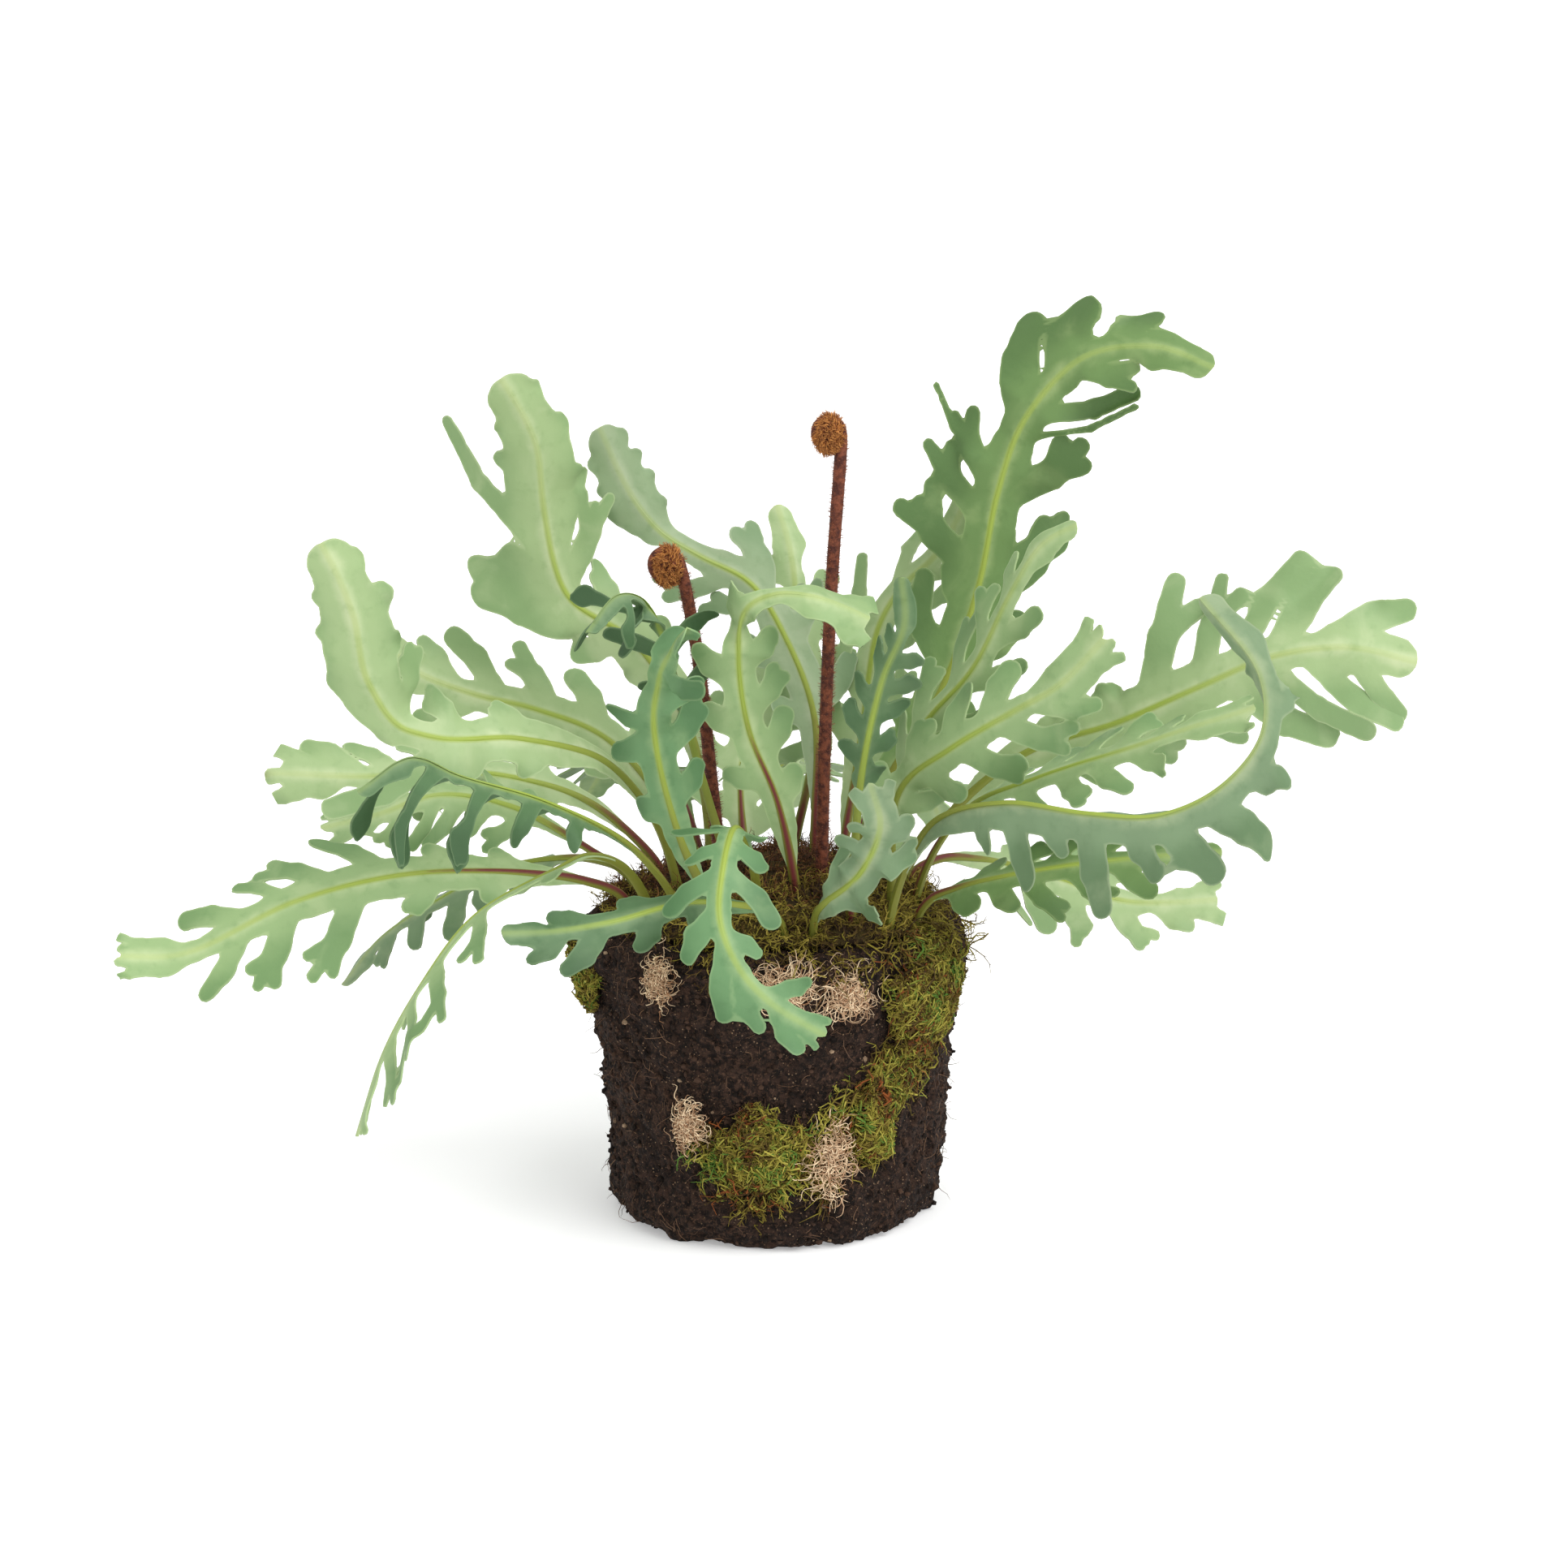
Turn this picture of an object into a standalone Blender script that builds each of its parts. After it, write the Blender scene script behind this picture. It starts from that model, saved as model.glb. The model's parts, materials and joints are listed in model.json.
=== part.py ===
"""Fern with lobed fronds, growing out of its bare, pot-shaped root ball.

Frame: +Z up, origin on the ground under the middle of the root ball, the plant's front towards -Y.
Sizes are in millimetres and angles in degrees; a bearing is measured from +X towards +Y.
"""

import math

import bmesh
import bpy
from mathutils import Vector

MM = 0.001

# Root ball: the soil that kept the shape of the pot it grew in, with a flared collar.
RIM_RADIUS = 62.0
WAIST_RADIUS = 54.8
FOOT_RADIUS = 51.8
BALL_HEIGHT = 97.0
WAIST_SHARE = 0.5
DOME_RISE = 9.0
FOOT_ROUND = 8.0
RIM_ROUND = 8.0
BALL_SIDES = 36

# Moss and the pale dry fibres that cling to the soil.
MOSS_GAP = 0.8
CROWN_MOSS_MARGIN = 1.5
CROWN_MOSS_THICK = 5.0
PATCH_STEP = 8.0
PATCH_SPOKES = 14

# Stalks, and the holes that they are planted in.
PLANT_DEPTH = 7.0
STALK_HALF = 1.3
HOLE_CLEARANCE = 0.6
HOLE_SIDES = 6
STALK_STRAIGHT = 9.0
STALK_LIFT = 1.1

# Blade of a frond.
RIB_HALF = 0.9
TIP_HALF = 0.35
LOBE_SWEEP = 0.65
SINUS_SHARE = 0.40
WING_HALF = 3.2

# Fiddleheads: young fronds, still coiled.
CROZIER_STALK_RADIUS = 2.1
CROZIER_SIDES = 8

# The routes and reaches below are those of a plant whose ball has this rim.
ROUTE_RIM_RADIUS = 63.0

# One entry a frond. foot: where the stalk enters the soil, x and y. route: points of the midrib
# past the foot, x, y and the rise above the rim. faces: the way the upper face looks at the foot
# and at the tip, as bearing and elevation. half: half the width over the lobes. tip: half the
# width of the unlobed tongue at the tip. lobes: lobes on a side. stalk: the share of the length
# before the blade. tongue: the share of the tongue. fold: how far each half falls from the face.
FRONDS = {
    "frond_left_tall": dict(
        foot=(-20, 6),
        route=[(-27, 10, 56), (-45, 13, 84), (-66, 12, 99), (-73, 8, 127), (-76, 0, 153), (-84, -8, 169)],
        faces=[(270, 20), (275, 5)], half=25, tip=17, lobes=4, stalk=0.30, tongue=0.36, fold=8),
    "frond_left_tongue": dict(
        foot=(-30, -14),
        route=[(-48, -30, 52), (-77, -48, 66), (-102, -60, 69), (-118, -65, 77), (-123, -69, 97),
               (-127, -74, 116), (-133, -78, 130)],
        faces=[(270, 60), (275, 5)], half=24, tip=15, lobes=4, stalk=0.34, tongue=0.34, fold=5),
    "frond_left_back_pale": dict(
        foot=(-24, 24),
        route=[(-54, 32, 48), (-78, 34, 58), (-98, 34, 63), (-118, 32, 72), (-128, 30, 84)],
        faces=[(270, 35), (270, 20)], half=20, tip=11, lobes=5, stalk=0.22, tongue=0.18, fold=6),
    "frond_left_level": dict(
        foot=(-35, 7),
        route=[(-60, 6, 34), (-82, 4, 42), (-104, 1, 45), (-127, -2, 44), (-158, -6, 46)],
        faces=[(270, 45), (270, 35)], half=16, tip=11, lobes=5, stalk=0.28, tongue=0.14, fold=6),
    "frond_left_under": dict(
        foot=(-43, -4),
        route=[(-59, -6, 21), (-83, -10, 36), (-106, -15, 41), (-124, -20, 36), (-140, -25, 33)],
        faces=[(270, 35), (270, 50)], half=14, tip=8, lobes=5, stalk=0.40, tongue=0.12, fold=12),
    "frond_left_front_droop": dict(
        foot=(-30, -31),
        route=[(-44, -48, 32), (-68, -76, 53), (-92, -98, 66), (-106, -109, 74), (-120, -116, 66)],
        faces=[(270, 75), (250, 60)], half=15, tip=8, lobes=4, stalk=0.34, tongue=0.12, fold=50),
    "frond_left_long_low": dict(
        foot=(-46, -14),
        route=[(-69, -24, 17), (-90, -33, 21), (-117, -43, 22), (-147, -51, 16), (-181, -57, 1),
               (-200, -60, 1)],
        faces=[(270, 45), (270, 40)], half=21, tip=12, lobes=7, stalk=0.22, tongue=0.10, fold=4),
    "frond_left_hanging": dict(
        foot=(-39, -25),
        route=[(-54, -42, 29), (-67, -55, 27), (-91, -78, 18), (-106, -95, 1), (-116, -106, -16),
               (-123, -116, -37)],
        faces=[(200, 50), (180, 30)], half=11, tip=6, lobes=6, stalk=0.28, tongue=0.10, fold=10),
    "frond_left_back_low": dict(
        foot=(-45, 16),
        route=[(-68, 20, 12), (-90, 22, 8), (-111, 22, -3), (-128, 19, -14), (-140, 14, -28)],
        faces=[(250, 70), (200, 50)], half=12, tip=7, lobes=5, stalk=0.30, tongue=0.10, fold=14),
    "frond_front_left_low": dict(
        foot=(3, -47),
        route=[(-6, -60, 16), (-26, -72, 21), (-48, -83, 18), (-66, -91, 17), (-80, -97, 18)],
        faces=[(270, 55), (270, 40)], half=14, tip=8, lobes=4, stalk=0.28, tongue=0.10, fold=8),
    "frond_front_left_upright": dict(
        foot=(-20, -36),
        route=[(-29, -40, 32), (-35, -45, 55), (-37, -50, 72), (-35, -57, 86), (-30, -70, 100),
               (-26, -84, 107)],
        faces=[(270, 0), (268, 50)], half=17, tip=9, lobes=5, stalk=0.20, tongue=0.12, fold=6),
    "frond_back_arched_left": dict(
        foot=(13, 22),
        route=[(13, 30, 56), (3, 37, 82), (-8, 41, 98), (-24, 44, 106), (-37, 44, 114), (-47, 42, 127),
               (-56, 36, 148)],
        faces=[(270, 5), (280, 15)], half=19, tip=12, lobes=5, stalk=0.20, tongue=0.24, fold=8),
    "frond_centre_upright": dict(
        foot=(7, -24),
        route=[(1, -29, 42), (-8, -34, 66), (-11, -38, 90), (-9, -42, 104), (0, -45, 110), (15, -47, 109),
               (31, -46, 102)],
        faces=[(270, 0), (275, 55)], half=17, tip=11, lobes=6, stalk=0.16, tongue=0.18, fold=6),
    "frond_back_right_upright": dict(
        foot=(22, 18),
        route=[(26, 28, 36), (29, 34, 54), (34, 39, 84), (42, 41, 97), (53, 40, 108), (64, 35, 130)],
        faces=[(262, 5), (262, 15)], half=15, tip=8, lobes=6, stalk=0.16, tongue=0.12, fold=8),
    "frond_back_centre_short": dict(
        foot=(-10, 20),
        route=[(-11, 34, 38), (-6, 50, 52), (-1, 65, 62), (1, 77, 70)],
        faces=[(270, 10), (270, 25)], half=18, tip=12, lobes=4, stalk=0.16, tongue=0.20, fold=4),
    "frond_centre_left_nodding": dict(
        foot=(-13, -19),
        route=[(-24, -23, 52), (-32, -29, 84), (-39, -38, 106), (-48, -52, 111), (-56, -66, 103)],
        faces=[(270, 20), (225, 55)], half=11, tip=6, lobes=4, stalk=0.42, tongue=0.12, fold=40),
    "frond_back_centre_high": dict(
        foot=(6, 35),
        route=[(14, 46, 50), (8, 60, 84), (5, 72, 104), (1, 82, 116)],
        faces=[(270, 5), (272, 30)], half=14, tip=8, lobes=4, stalk=0.38, tongue=0.14, fold=10),
    "frond_right_tallest": dict(
        foot=(24, 3),
        route=[(37, 5, 42), (54, 8, 71), (65, 10, 102), (71, 10, 133), (79, 7, 156), (97, 2, 176),
               (119, -6, 180), (134, -13, 175)],
        faces=[(275, 5), (268, 40)], half=24, tip=11, lobes=8, stalk=0.16, tongue=0.10, fold=5),
    "frond_right_narrow": dict(
        foot=(31, -11),
        route=[(45, -27, 63), (61, -40, 86), (72, -48, 111), (81, -54, 127), (90, -58, 133)],
        faces=[(240, 15), (235, 25)], half=14, tip=9, lobes=5, stalk=0.28, tongue=0.12, fold=20),
    "frond_right_mid": dict(
        foot=(37, -23),
        route=[(39, -37, 47), (54, -53, 64), (73, -67, 79), (85, -75, 88), (98, -83, 104)],
        faces=[(270, 25), (266, 20)], half=18, tip=12, lobes=5, stalk=0.16, tongue=0.22, fold=6),
    "frond_right_far": dict(
        foot=(41, 9),
        route=[(58, 11, 30), (80, 4, 50), (108, -10, 63), (132, -19, 76), (155, -24, 87), (178, -26, 90),
               (196, -26, 86)],
        faces=[(270, 25), (266, 15)], half=26, tip=26, lobes=6, stalk=0.30, tongue=0.14, fold=6),
    "frond_right_level": dict(
        foot=(45, -9),
        route=[(60, -20, 37), (82, -34, 51), (110, -49, 64), (126, -55, 71), (144, -60, 78)],
        faces=[(270, 65), (270, 50)], half=14, tip=8, lobes=5, stalk=0.34, tongue=0.14, fold=10),
    "frond_right_curling": dict(
        foot=(36, -35),
        route=[(48, -52, 40), (69, -77, 53), (93, -95, 54), (113, -105, 56), (130, -111, 66),
               (141, -113, 82), (140, -110, 99), (124, -103, 119)],
        faces=[(270, 75), (215, 20)], half=17, tip=9, lobes=8, stalk=0.22, tongue=0.10, fold=48),
    "frond_right_low_front": dict(
        foot=(45, -26),
        route=[(58, -34, 16), (73, -42, 22), (98, -50, 28), (119, -54, 31), (136, -57, 33)],
        faces=[(270, 60), (270, 50)], half=14, tip=8, lobes=5, stalk=0.20, tongue=0.12, fold=8),
    "frond_right_back_low": dict(
        foot=(44, 22),
        route=[(66, 32, 9), (93, 43, 0), (115, 51, -10), (133, 56, -12), (149, 60, -12)],
        faces=[(270, 55), (270, 30)], half=17, tip=9, lobes=5, stalk=0.24, tongue=0.14, fold=10),
    "frond_front_right_short": dict(
        foot=(12, -47),
        route=[(15, -56, 16), (26, -66, 28), (32, -76, 45), (29, -85, 60)],
        faces=[(270, 40), (270, 15)], half=20, tip=11, lobes=4, stalk=0.22, tongue=0.20, fold=4),
    "frond_right_dark_short": dict(
        foot=(24, -37),
        route=[(27, -52, 56), (33, -64, 88), (39, -74, 106), (38, -81, 121)],
        faces=[(270, 0), (265, 40)], half=9, tip=5, lobes=5, stalk=0.42, tongue=0.14, fold=14),
    "frond_front_drooping": dict(
        foot=(-5, -33),
        route=[(-8, -54, 34), (-12, -76, 45), (-15, -95, 38), (-16, -103, 24), (-10, -108, 10),
               (0, -111, 0), (14, -113, -8)],
        faces=[(270, 70), (272, 10)], half=17, tip=9, lobes=6, stalk=0.30, tongue=0.10, fold=6),
    "frond_rear_right": dict(
        foot=(25, 38),
        route=[(38, 68, 26), (50, 98, 20), (59, 124, -4)],
        faces=[(90, 80), (80, 35)], half=18, tip=10, lobes=5, stalk=0.26, tongue=0.16, fold=8),
    "frond_rear_middle": dict(
        foot=(1, 47),
        route=[(2, 78, 30), (3, 110, 26), (4, 138, 2)],
        faces=[(90, 80), (90, 35)], half=19, tip=10, lobes=5, stalk=0.26, tongue=0.16, fold=8),
    "frond_rear_left": dict(
        foot=(-24, 38),
        route=[(-37, 70, 30), (-54, 100, 28), (-66, 126, 8)],
        faces=[(90, 80), (110, 35)], half=18, tip=10, lobes=5, stalk=0.26, tongue=0.16, fold=8),
}

# Fiddleheads: foot, the bend of the stalk, where the coil starts, and the coil's outer radius.
FIDDLEHEADS = {
    "fiddlehead_tall": dict(foot=(15, -14), route=[(16, -17, 60), (18, -19, 110), (21, -20, 153)], coil=7.0),
    "fiddlehead_short": dict(foot=(-17, -6), route=[(-21, -9, 54), (-24, -11, 84), (-29, -13, 112)], coil=7.4),
}

# Patches on the ball's side: middle as bearing and distance down from the rim, then half the
# width and half the height, and how thick the patch stands.
PATCHES = {
    "moss_patch_front": dict(bearing=266, down=63, half_wide=15, half_high=15, thick=3.6),
    "moss_drape_right_upper": dict(bearing=321, down=19, half_wide=18, half_high=16, thick=5.5),
    "moss_drape_right_lower": dict(bearing=305, down=56, half_wide=9.5, half_high=15, thick=3.6),
    "moss_rim_left": dict(bearing=196, down=16, half_wide=12, half_high=13, thick=3.2),
    "fibre_tuft_rim_left": dict(bearing=235, down=14, half_wide=6, half_high=7, thick=3.4),
    "fibre_tuft_rim_front": dict(bearing=273, down=13, half_wide=9, half_high=5, thick=3.4),
    "fibre_tuft_rim_right": dict(bearing=293, down=17, half_wide=8, half_high=9, thick=3.4),
    "fibre_tuft_low_left": dict(bearing=242, down=56, half_wide=4.5, half_high=8, thick=3.4),
    "fibre_tuft_low_front": dict(bearing=289, down=66, half_wide=4.5, half_high=9, thick=3.4),
}

MATERIALS = {
    "soil": dict(color=(0.055, 0.036, 0.026), roughness=0.95),
    "moss": dict(color=(0.16, 0.16, 0.035), roughness=0.95),
    "dry_fibre": dict(color=(0.62, 0.45, 0.31), roughness=0.9),
    "frond_green": dict(color=(0.33, 0.50, 0.25), roughness=0.55),
    "frond_blue_green": dict(color=(0.22, 0.42, 0.27), roughness=0.55),
    "fiddlehead_brown": dict(color=(0.24, 0.085, 0.035), roughness=0.9),
}

BLUE_GREEN_FRONDS = {
    "frond_front_left_low",
    "frond_front_left_upright",
    "frond_front_drooping",
    "frond_front_right_short",
    "frond_right_dark_short",
    "frond_right_curling",
    "frond_centre_left_nodding",
}


def make_material(name, color, roughness):
    material = bpy.data.materials.new(name)
    material.use_nodes = True
    shader = material.node_tree.nodes["Principled BSDF"]
    shader.inputs["Base Color"].default_value = (*color, 1.0)
    shader.inputs["Roughness"].default_value = roughness
    shader.inputs["Metallic"].default_value = 0.0
    return material


def add_mesh(name, bm, material):
    """Turns a bmesh that is in millimetres into an object of that name."""
    bmesh.ops.recalc_face_normals(bm, faces=bm.faces)
    bmesh.ops.scale(bm, vec=(MM, MM, MM), verts=bm.verts)
    mesh = bpy.data.meshes.new(name)
    bm.to_mesh(mesh)
    bm.free()
    mesh.materials.append(material)
    mesh.shade_smooth()
    mesh.set_sharp_from_angle(angle=math.radians(40))
    obj = bpy.data.objects.new(name, mesh)
    bpy.context.scene.collection.objects.link(obj)
    return obj


def heading(bearing, elevation=0.0):
    """The unit vector at a bearing and an elevation."""
    b, e = math.radians(bearing), math.radians(elevation)
    return Vector((math.cos(b) * math.cos(e), math.sin(b) * math.cos(e), math.sin(e)))


# ---------------------------------------------------------------- root ball

def arc(centre_r, centre_z, radius, start, end, steps):
    """Points of a fillet in the profile, as (radius, height)."""
    points = []
    for i in range(steps + 1):
        a = math.radians(start + (end - start) * i / steps)
        points.append((centre_r + radius * math.cos(a), centre_z + radius * math.sin(a)))
    return points


def side_radius(height):
    """The radius of the ball's side at a height: nearly upright to the waist, then flared."""
    waist = BALL_HEIGHT * WAIST_SHARE
    if height < waist:
        return FOOT_RADIUS + (WAIST_RADIUS - FOOT_RADIUS) * height / waist
    return WAIST_RADIUS + (RIM_RADIUS - WAIST_RADIUS) * (height - waist) / (BALL_HEIGHT - waist)


def ball_profile():
    """The ball's outline from the flat of its foot, up the side and over the rim to the middle."""
    foot = arc(side_radius(FOOT_ROUND) - FOOT_ROUND, FOOT_ROUND, FOOT_ROUND, -90, 0, 3)
    rim_base = BALL_HEIGHT - RIM_ROUND
    rim = arc(side_radius(rim_base) - RIM_ROUND, rim_base, RIM_ROUND, 0, 78, 3)
    waist = BALL_HEIGHT * WAIST_SHARE
    heights = [FOOT_ROUND + (waist - FOOT_ROUND) * i / 3 for i in (1, 2, 3)]
    heights += [waist + (rim_base - waist) * i / 3 for i in (1, 2)]
    side = [(side_radius(height), height) for height in heights]
    top = []
    for share in (0.72, 0.48, 0.24):
        top.append((rim[-1][0] * share, rim[-1][1] + DOME_RISE * (1 - share**2)))
    return foot + side + rim + top


PROFILE = ball_profile()
SOIL_EDGE_RADIUS, SOIL_EDGE_HEIGHT = PROFILE[-4]
CROWN_MOSS_RADIUS = SOIL_EDGE_RADIUS - CROWN_MOSS_MARGIN


def out_of_round(bearing, height):
    """How far the soil bulges past its turned profile: the slow lumps of a real root ball."""
    b = math.radians(bearing)
    h = height / BALL_HEIGHT
    lumps = math.sin(2 * b + 0.6) * 0.7 + math.sin(3 * b + 4 * h) * 0.6 + math.sin(5 * b - 3 * h) * 0.35
    fade = max(0.0, min(1.0, height / FOOT_ROUND))
    return lumps * fade


def soil_point(radius, height, bearing):
    """A point of the soil's surface, with its lumps."""
    return heading(bearing) * (radius + out_of_round(bearing, height)) + Vector((0, 0, height))


def soil_top(x, y):
    """The height of the soil's domed top at x, y."""
    share = min(1.0, math.hypot(x, y) / SOIL_EDGE_RADIUS)
    return SOIL_EDGE_HEIGHT + DOME_RISE * (1 - share**2)


def make_root_ball(material):
    bm = bmesh.new()
    rings = []
    for radius, height in PROFILE:
        ring = []
        for i in range(BALL_SIDES):
            ring.append(bm.verts.new(soil_point(radius, height, 360 * i / BALL_SIDES)))
        rings.append(ring)
    for low, high in zip(rings, rings[1:]):
        for i in range(BALL_SIDES):
            j = (i + 1) % BALL_SIDES
            bm.faces.new((low[i], low[j], high[j], high[i]))
    bm.faces.new(list(reversed(rings[0])))
    middle = bm.verts.new((0, 0, soil_top(0, 0)))
    for i in range(BALL_SIDES):
        bm.faces.new((rings[-1][i], rings[-1][(i + 1) % BALL_SIDES], middle))
    return add_mesh("root_ball", bm, material)


def moss_height(x, y):
    """How thick the crown moss is at x, y: full in the middle, thin at its edge."""
    share = min(1.0, math.hypot(x, y) / CROWN_MOSS_RADIUS)
    lumps = 0.8 * math.sin(x / 7.0) * math.cos(y / 8.0)
    return 1.2 + (CROWN_MOSS_THICK + lumps) * (1 - share**3)


def make_crown_moss(material):
    """The cushion of moss laid over the soil, round the stalks."""
    bm = bmesh.new()
    shares = (0.25, 0.5, 0.75, 1.0)
    sheets = []
    for upper in (False, True):
        middle = soil_top(0, 0) + MOSS_GAP + (moss_height(0, 0) if upper else 0)
        sheet = [[bm.verts.new((0, 0, middle))]]
        for share in shares:
            ring = []
            for i in range(BALL_SIDES):
                p = heading(360 * i / BALL_SIDES) * CROWN_MOSS_RADIUS * share
                z = soil_top(p.x, p.y) + MOSS_GAP + (moss_height(p.x, p.y) if upper else 0)
                ring.append(bm.verts.new((p.x, p.y, z)))
            sheet.append(ring)
        sheets.append(sheet)
    for sheet in sheets:
        for i in range(BALL_SIDES):
            j = (i + 1) % BALL_SIDES
            bm.faces.new((sheet[0][0], sheet[1][i], sheet[1][j]))
            for inner, outer in zip(sheet[1:], sheet[2:]):
                bm.faces.new((inner[i], outer[i], outer[j], inner[j]))
    for i in range(BALL_SIDES):
        j = (i + 1) % BALL_SIDES
        bm.faces.new((sheets[0][-1][i], sheets[0][-1][j], sheets[1][-1][j], sheets[1][-1][i]))
    return add_mesh("crown_moss", bm, material)


def side_point(bearing, down, out):
    """A point in front of the ball's side: some way down from the rim and out from the soil."""
    height = BALL_HEIGHT - down
    return soil_point(side_radius(height) + out, height, bearing)


def make_patch(name, bearing, down, half_wide, half_high, thick, material):
    """A lens of moss or fibre that follows the soil's side: a ragged oval, thickest in its middle."""
    bm = bmesh.new()
    steps = max(2, math.ceil(max(half_wide, half_high) / PATCH_STEP))
    sheets = []
    for upper in (False, True):
        middle = side_point(bearing, down, MOSS_GAP + (thick if upper else 0))
        sheet = [[bm.verts.new(middle)]]
        for step in range(1, steps + 1):
            share = step / steps
            ring = []
            for i in range(PATCH_SPOKES):
                a = 2 * math.pi * i / PATCH_SPOKES
                ragged = share * (1 + 0.12 * math.sin(3 * a + bearing) + 0.08 * math.sin(5 * a))
                turn = math.degrees(half_wide * ragged * math.cos(a) / RIM_RADIUS)
                fall = half_high * ragged * math.sin(a)
                rise = thick * (1 - 0.75 * share**2) if upper else 0
                ring.append(bm.verts.new(side_point(bearing + turn, down - fall, MOSS_GAP + rise)))
            sheet.append(ring)
        sheets.append(sheet)
    for sheet in sheets:
        for i in range(PATCH_SPOKES):
            j = (i + 1) % PATCH_SPOKES
            bm.faces.new((sheet[0][0], sheet[1][i], sheet[1][j]))
            for inner, outer in zip(sheet[1:], sheet[2:]):
                bm.faces.new((inner[i], outer[i], outer[j], inner[j]))
    for i in range(PATCH_SPOKES):
        j = (i + 1) % PATCH_SPOKES
        bm.faces.new((sheets[0][-1][i], sheets[0][-1][j], sheets[1][-1][j], sheets[1][-1][i]))
    return add_mesh(name, bm, material)


# ---------------------------------------------------------------- stalks and midribs

def placed(x, y, rise):
    """A route's point on this ball: it keeps its distance past the rim and its rise above it."""
    reach = math.hypot(x, y)
    if reach < ROUTE_RIM_RADIUS:
        new_reach = reach * RIM_RADIUS / ROUTE_RIM_RADIUS
    else:
        new_reach = reach + RIM_RADIUS - ROUTE_RIM_RADIUS
    scale = new_reach / reach if reach else 1.0
    return Vector((x * scale, y * scale, BALL_HEIGHT + rise))


def foot_of(plant):
    """Where a stalk leaves the soil, and the way it points there."""
    foot = placed(*plant["foot"], 0)
    foot.z = soil_top(foot.x, foot.y)
    direction = (placed(*plant["route"][0]) - foot).normalized()
    direction = (direction + Vector((0, 0, STALK_LIFT))).normalized()
    return foot, direction


def spline(points, step):
    """A smooth curve through the points, as points about a step apart."""
    ends = [points[0] * 2 - points[1], *points, points[-1] * 2 - points[-2]]
    dense = []
    for p0, p1, p2, p3 in zip(ends, ends[1:], ends[2:], ends[3:]):
        k0, k1, k2 = (math.sqrt((b - a).length) for a, b in ((p0, p1), (p1, p2), (p2, p3)))
        out = (p1 - p0) / k0 - (p2 - p0) / (k0 + k1) + (p2 - p1) / k1
        into = (p2 - p1) / k1 - (p3 - p1) / (k1 + k2) + (p3 - p2) / k2
        m1, m2 = out * k1, into * k1
        for i in range(24):
            t = i / 24
            dense.append(
                p1 * (2 * t**3 - 3 * t**2 + 1) + m1 * (t**3 - 2 * t**2 + t)
                + p2 * (3 * t**2 - 2 * t**3) + m2 * (t**3 - t**2)
            )
    dense.append(points[-1].copy())
    return evenly(dense, step)


def evenly(points, step):
    """The same line, as points the same distance apart."""
    along = [0.0]
    for a, b in zip(points, points[1:]):
        along.append(along[-1] + (b - a).length)
    count = max(2, round(along[-1] / step))
    found, k = [], 0
    for i in range(count + 1):
        s = along[-1] * i / count
        while k < len(points) - 2 and along[k + 1] < s:
            k += 1
        t = (s - along[k]) / max(along[k + 1] - along[k], 1e-9)
        found.append(points[k].lerp(points[k + 1], min(1.0, t)))
    return found


class Midrib:
    """The smooth line of a stalk and its blade, with the blade's own directions along it."""

    def __init__(self, plant, faces=((270, 0), (270, 0))):
        self.foot, self.direction = foot_of(plant)
        route = [self.foot + self.direction * s for s in (-PLANT_DEPTH, 0, STALK_STRAIGHT)]
        route += [placed(*point) for point in plant["route"]]
        self.points = spline(route, 1.5)
        self.step = (self.points[1] - self.points[0]).length
        self.length = self.step * (len(self.points) - 1) - PLANT_DEPTH
        self.looks = [heading(*face) for face in faces]

    def at(self, s):
        """Position, tangent, upper-face normal and right-hand side at a distance s from the foot.
        Past either end the line runs straight on."""
        last = len(self.points) - 1
        k = (s + PLANT_DEPTH) / self.step
        i = min(max(int(k), 0), last - 1)
        tangent = (self.points[min(i + 2, last)] - self.points[max(i - 1, 0)]).normalized()
        within = min(max(k - i, 0.0), 1.0)
        position = self.points[i].lerp(self.points[i + 1], within)
        position = position + tangent * (k - i - within) * self.step
        share = min(max(s / self.length, 0.0), 1.0)
        look = self.looks[0].lerp(self.looks[1], share)
        normal = (look - tangent * look.dot(tangent)).normalized()
        return position, tangent, normal, tangent.cross(normal)


def make_hole_cutter(midribs, half):
    """One mesh of prisms that cuts every planting hole through the crown moss and into the soil."""
    bm = bmesh.new()
    for midrib in midribs:
        axis = midrib.direction
        across = axis.orthogonal().normalized()
        other = axis.cross(across)
        ends = []
        for reach in (-PLANT_DEPTH - HOLE_CLEARANCE, 2.5 * CROWN_MOSS_THICK):
            ring = []
            for i in range(HOLE_SIDES):
                a = 2 * math.pi * i / HOLE_SIDES
                radius = (half[midrib] + HOLE_CLEARANCE) / math.cos(math.pi / HOLE_SIDES)
                p = midrib.foot + axis * reach + (across * math.cos(a) + other * math.sin(a)) * radius
                ring.append(bm.verts.new(p))
            ends.append(ring)
        for i in range(HOLE_SIDES):
            j = (i + 1) % HOLE_SIDES
            bm.faces.new((ends[0][i], ends[0][j], ends[1][j], ends[1][i]))
        bm.faces.new(ends[0])
        bm.faces.new(ends[1])
    cutter = add_mesh("planting_holes", bm, MATERIAL["soil"])
    cutter.hide_render = True
    cutter.display_type = "WIRE"
    return cutter


def cut_holes(obj, cutter):
    holes = obj.modifiers.new("planting holes", "BOOLEAN")
    holes.operation = "DIFFERENCE"
    holes.object = cutter


# ---------------------------------------------------------------- fronds

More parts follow.
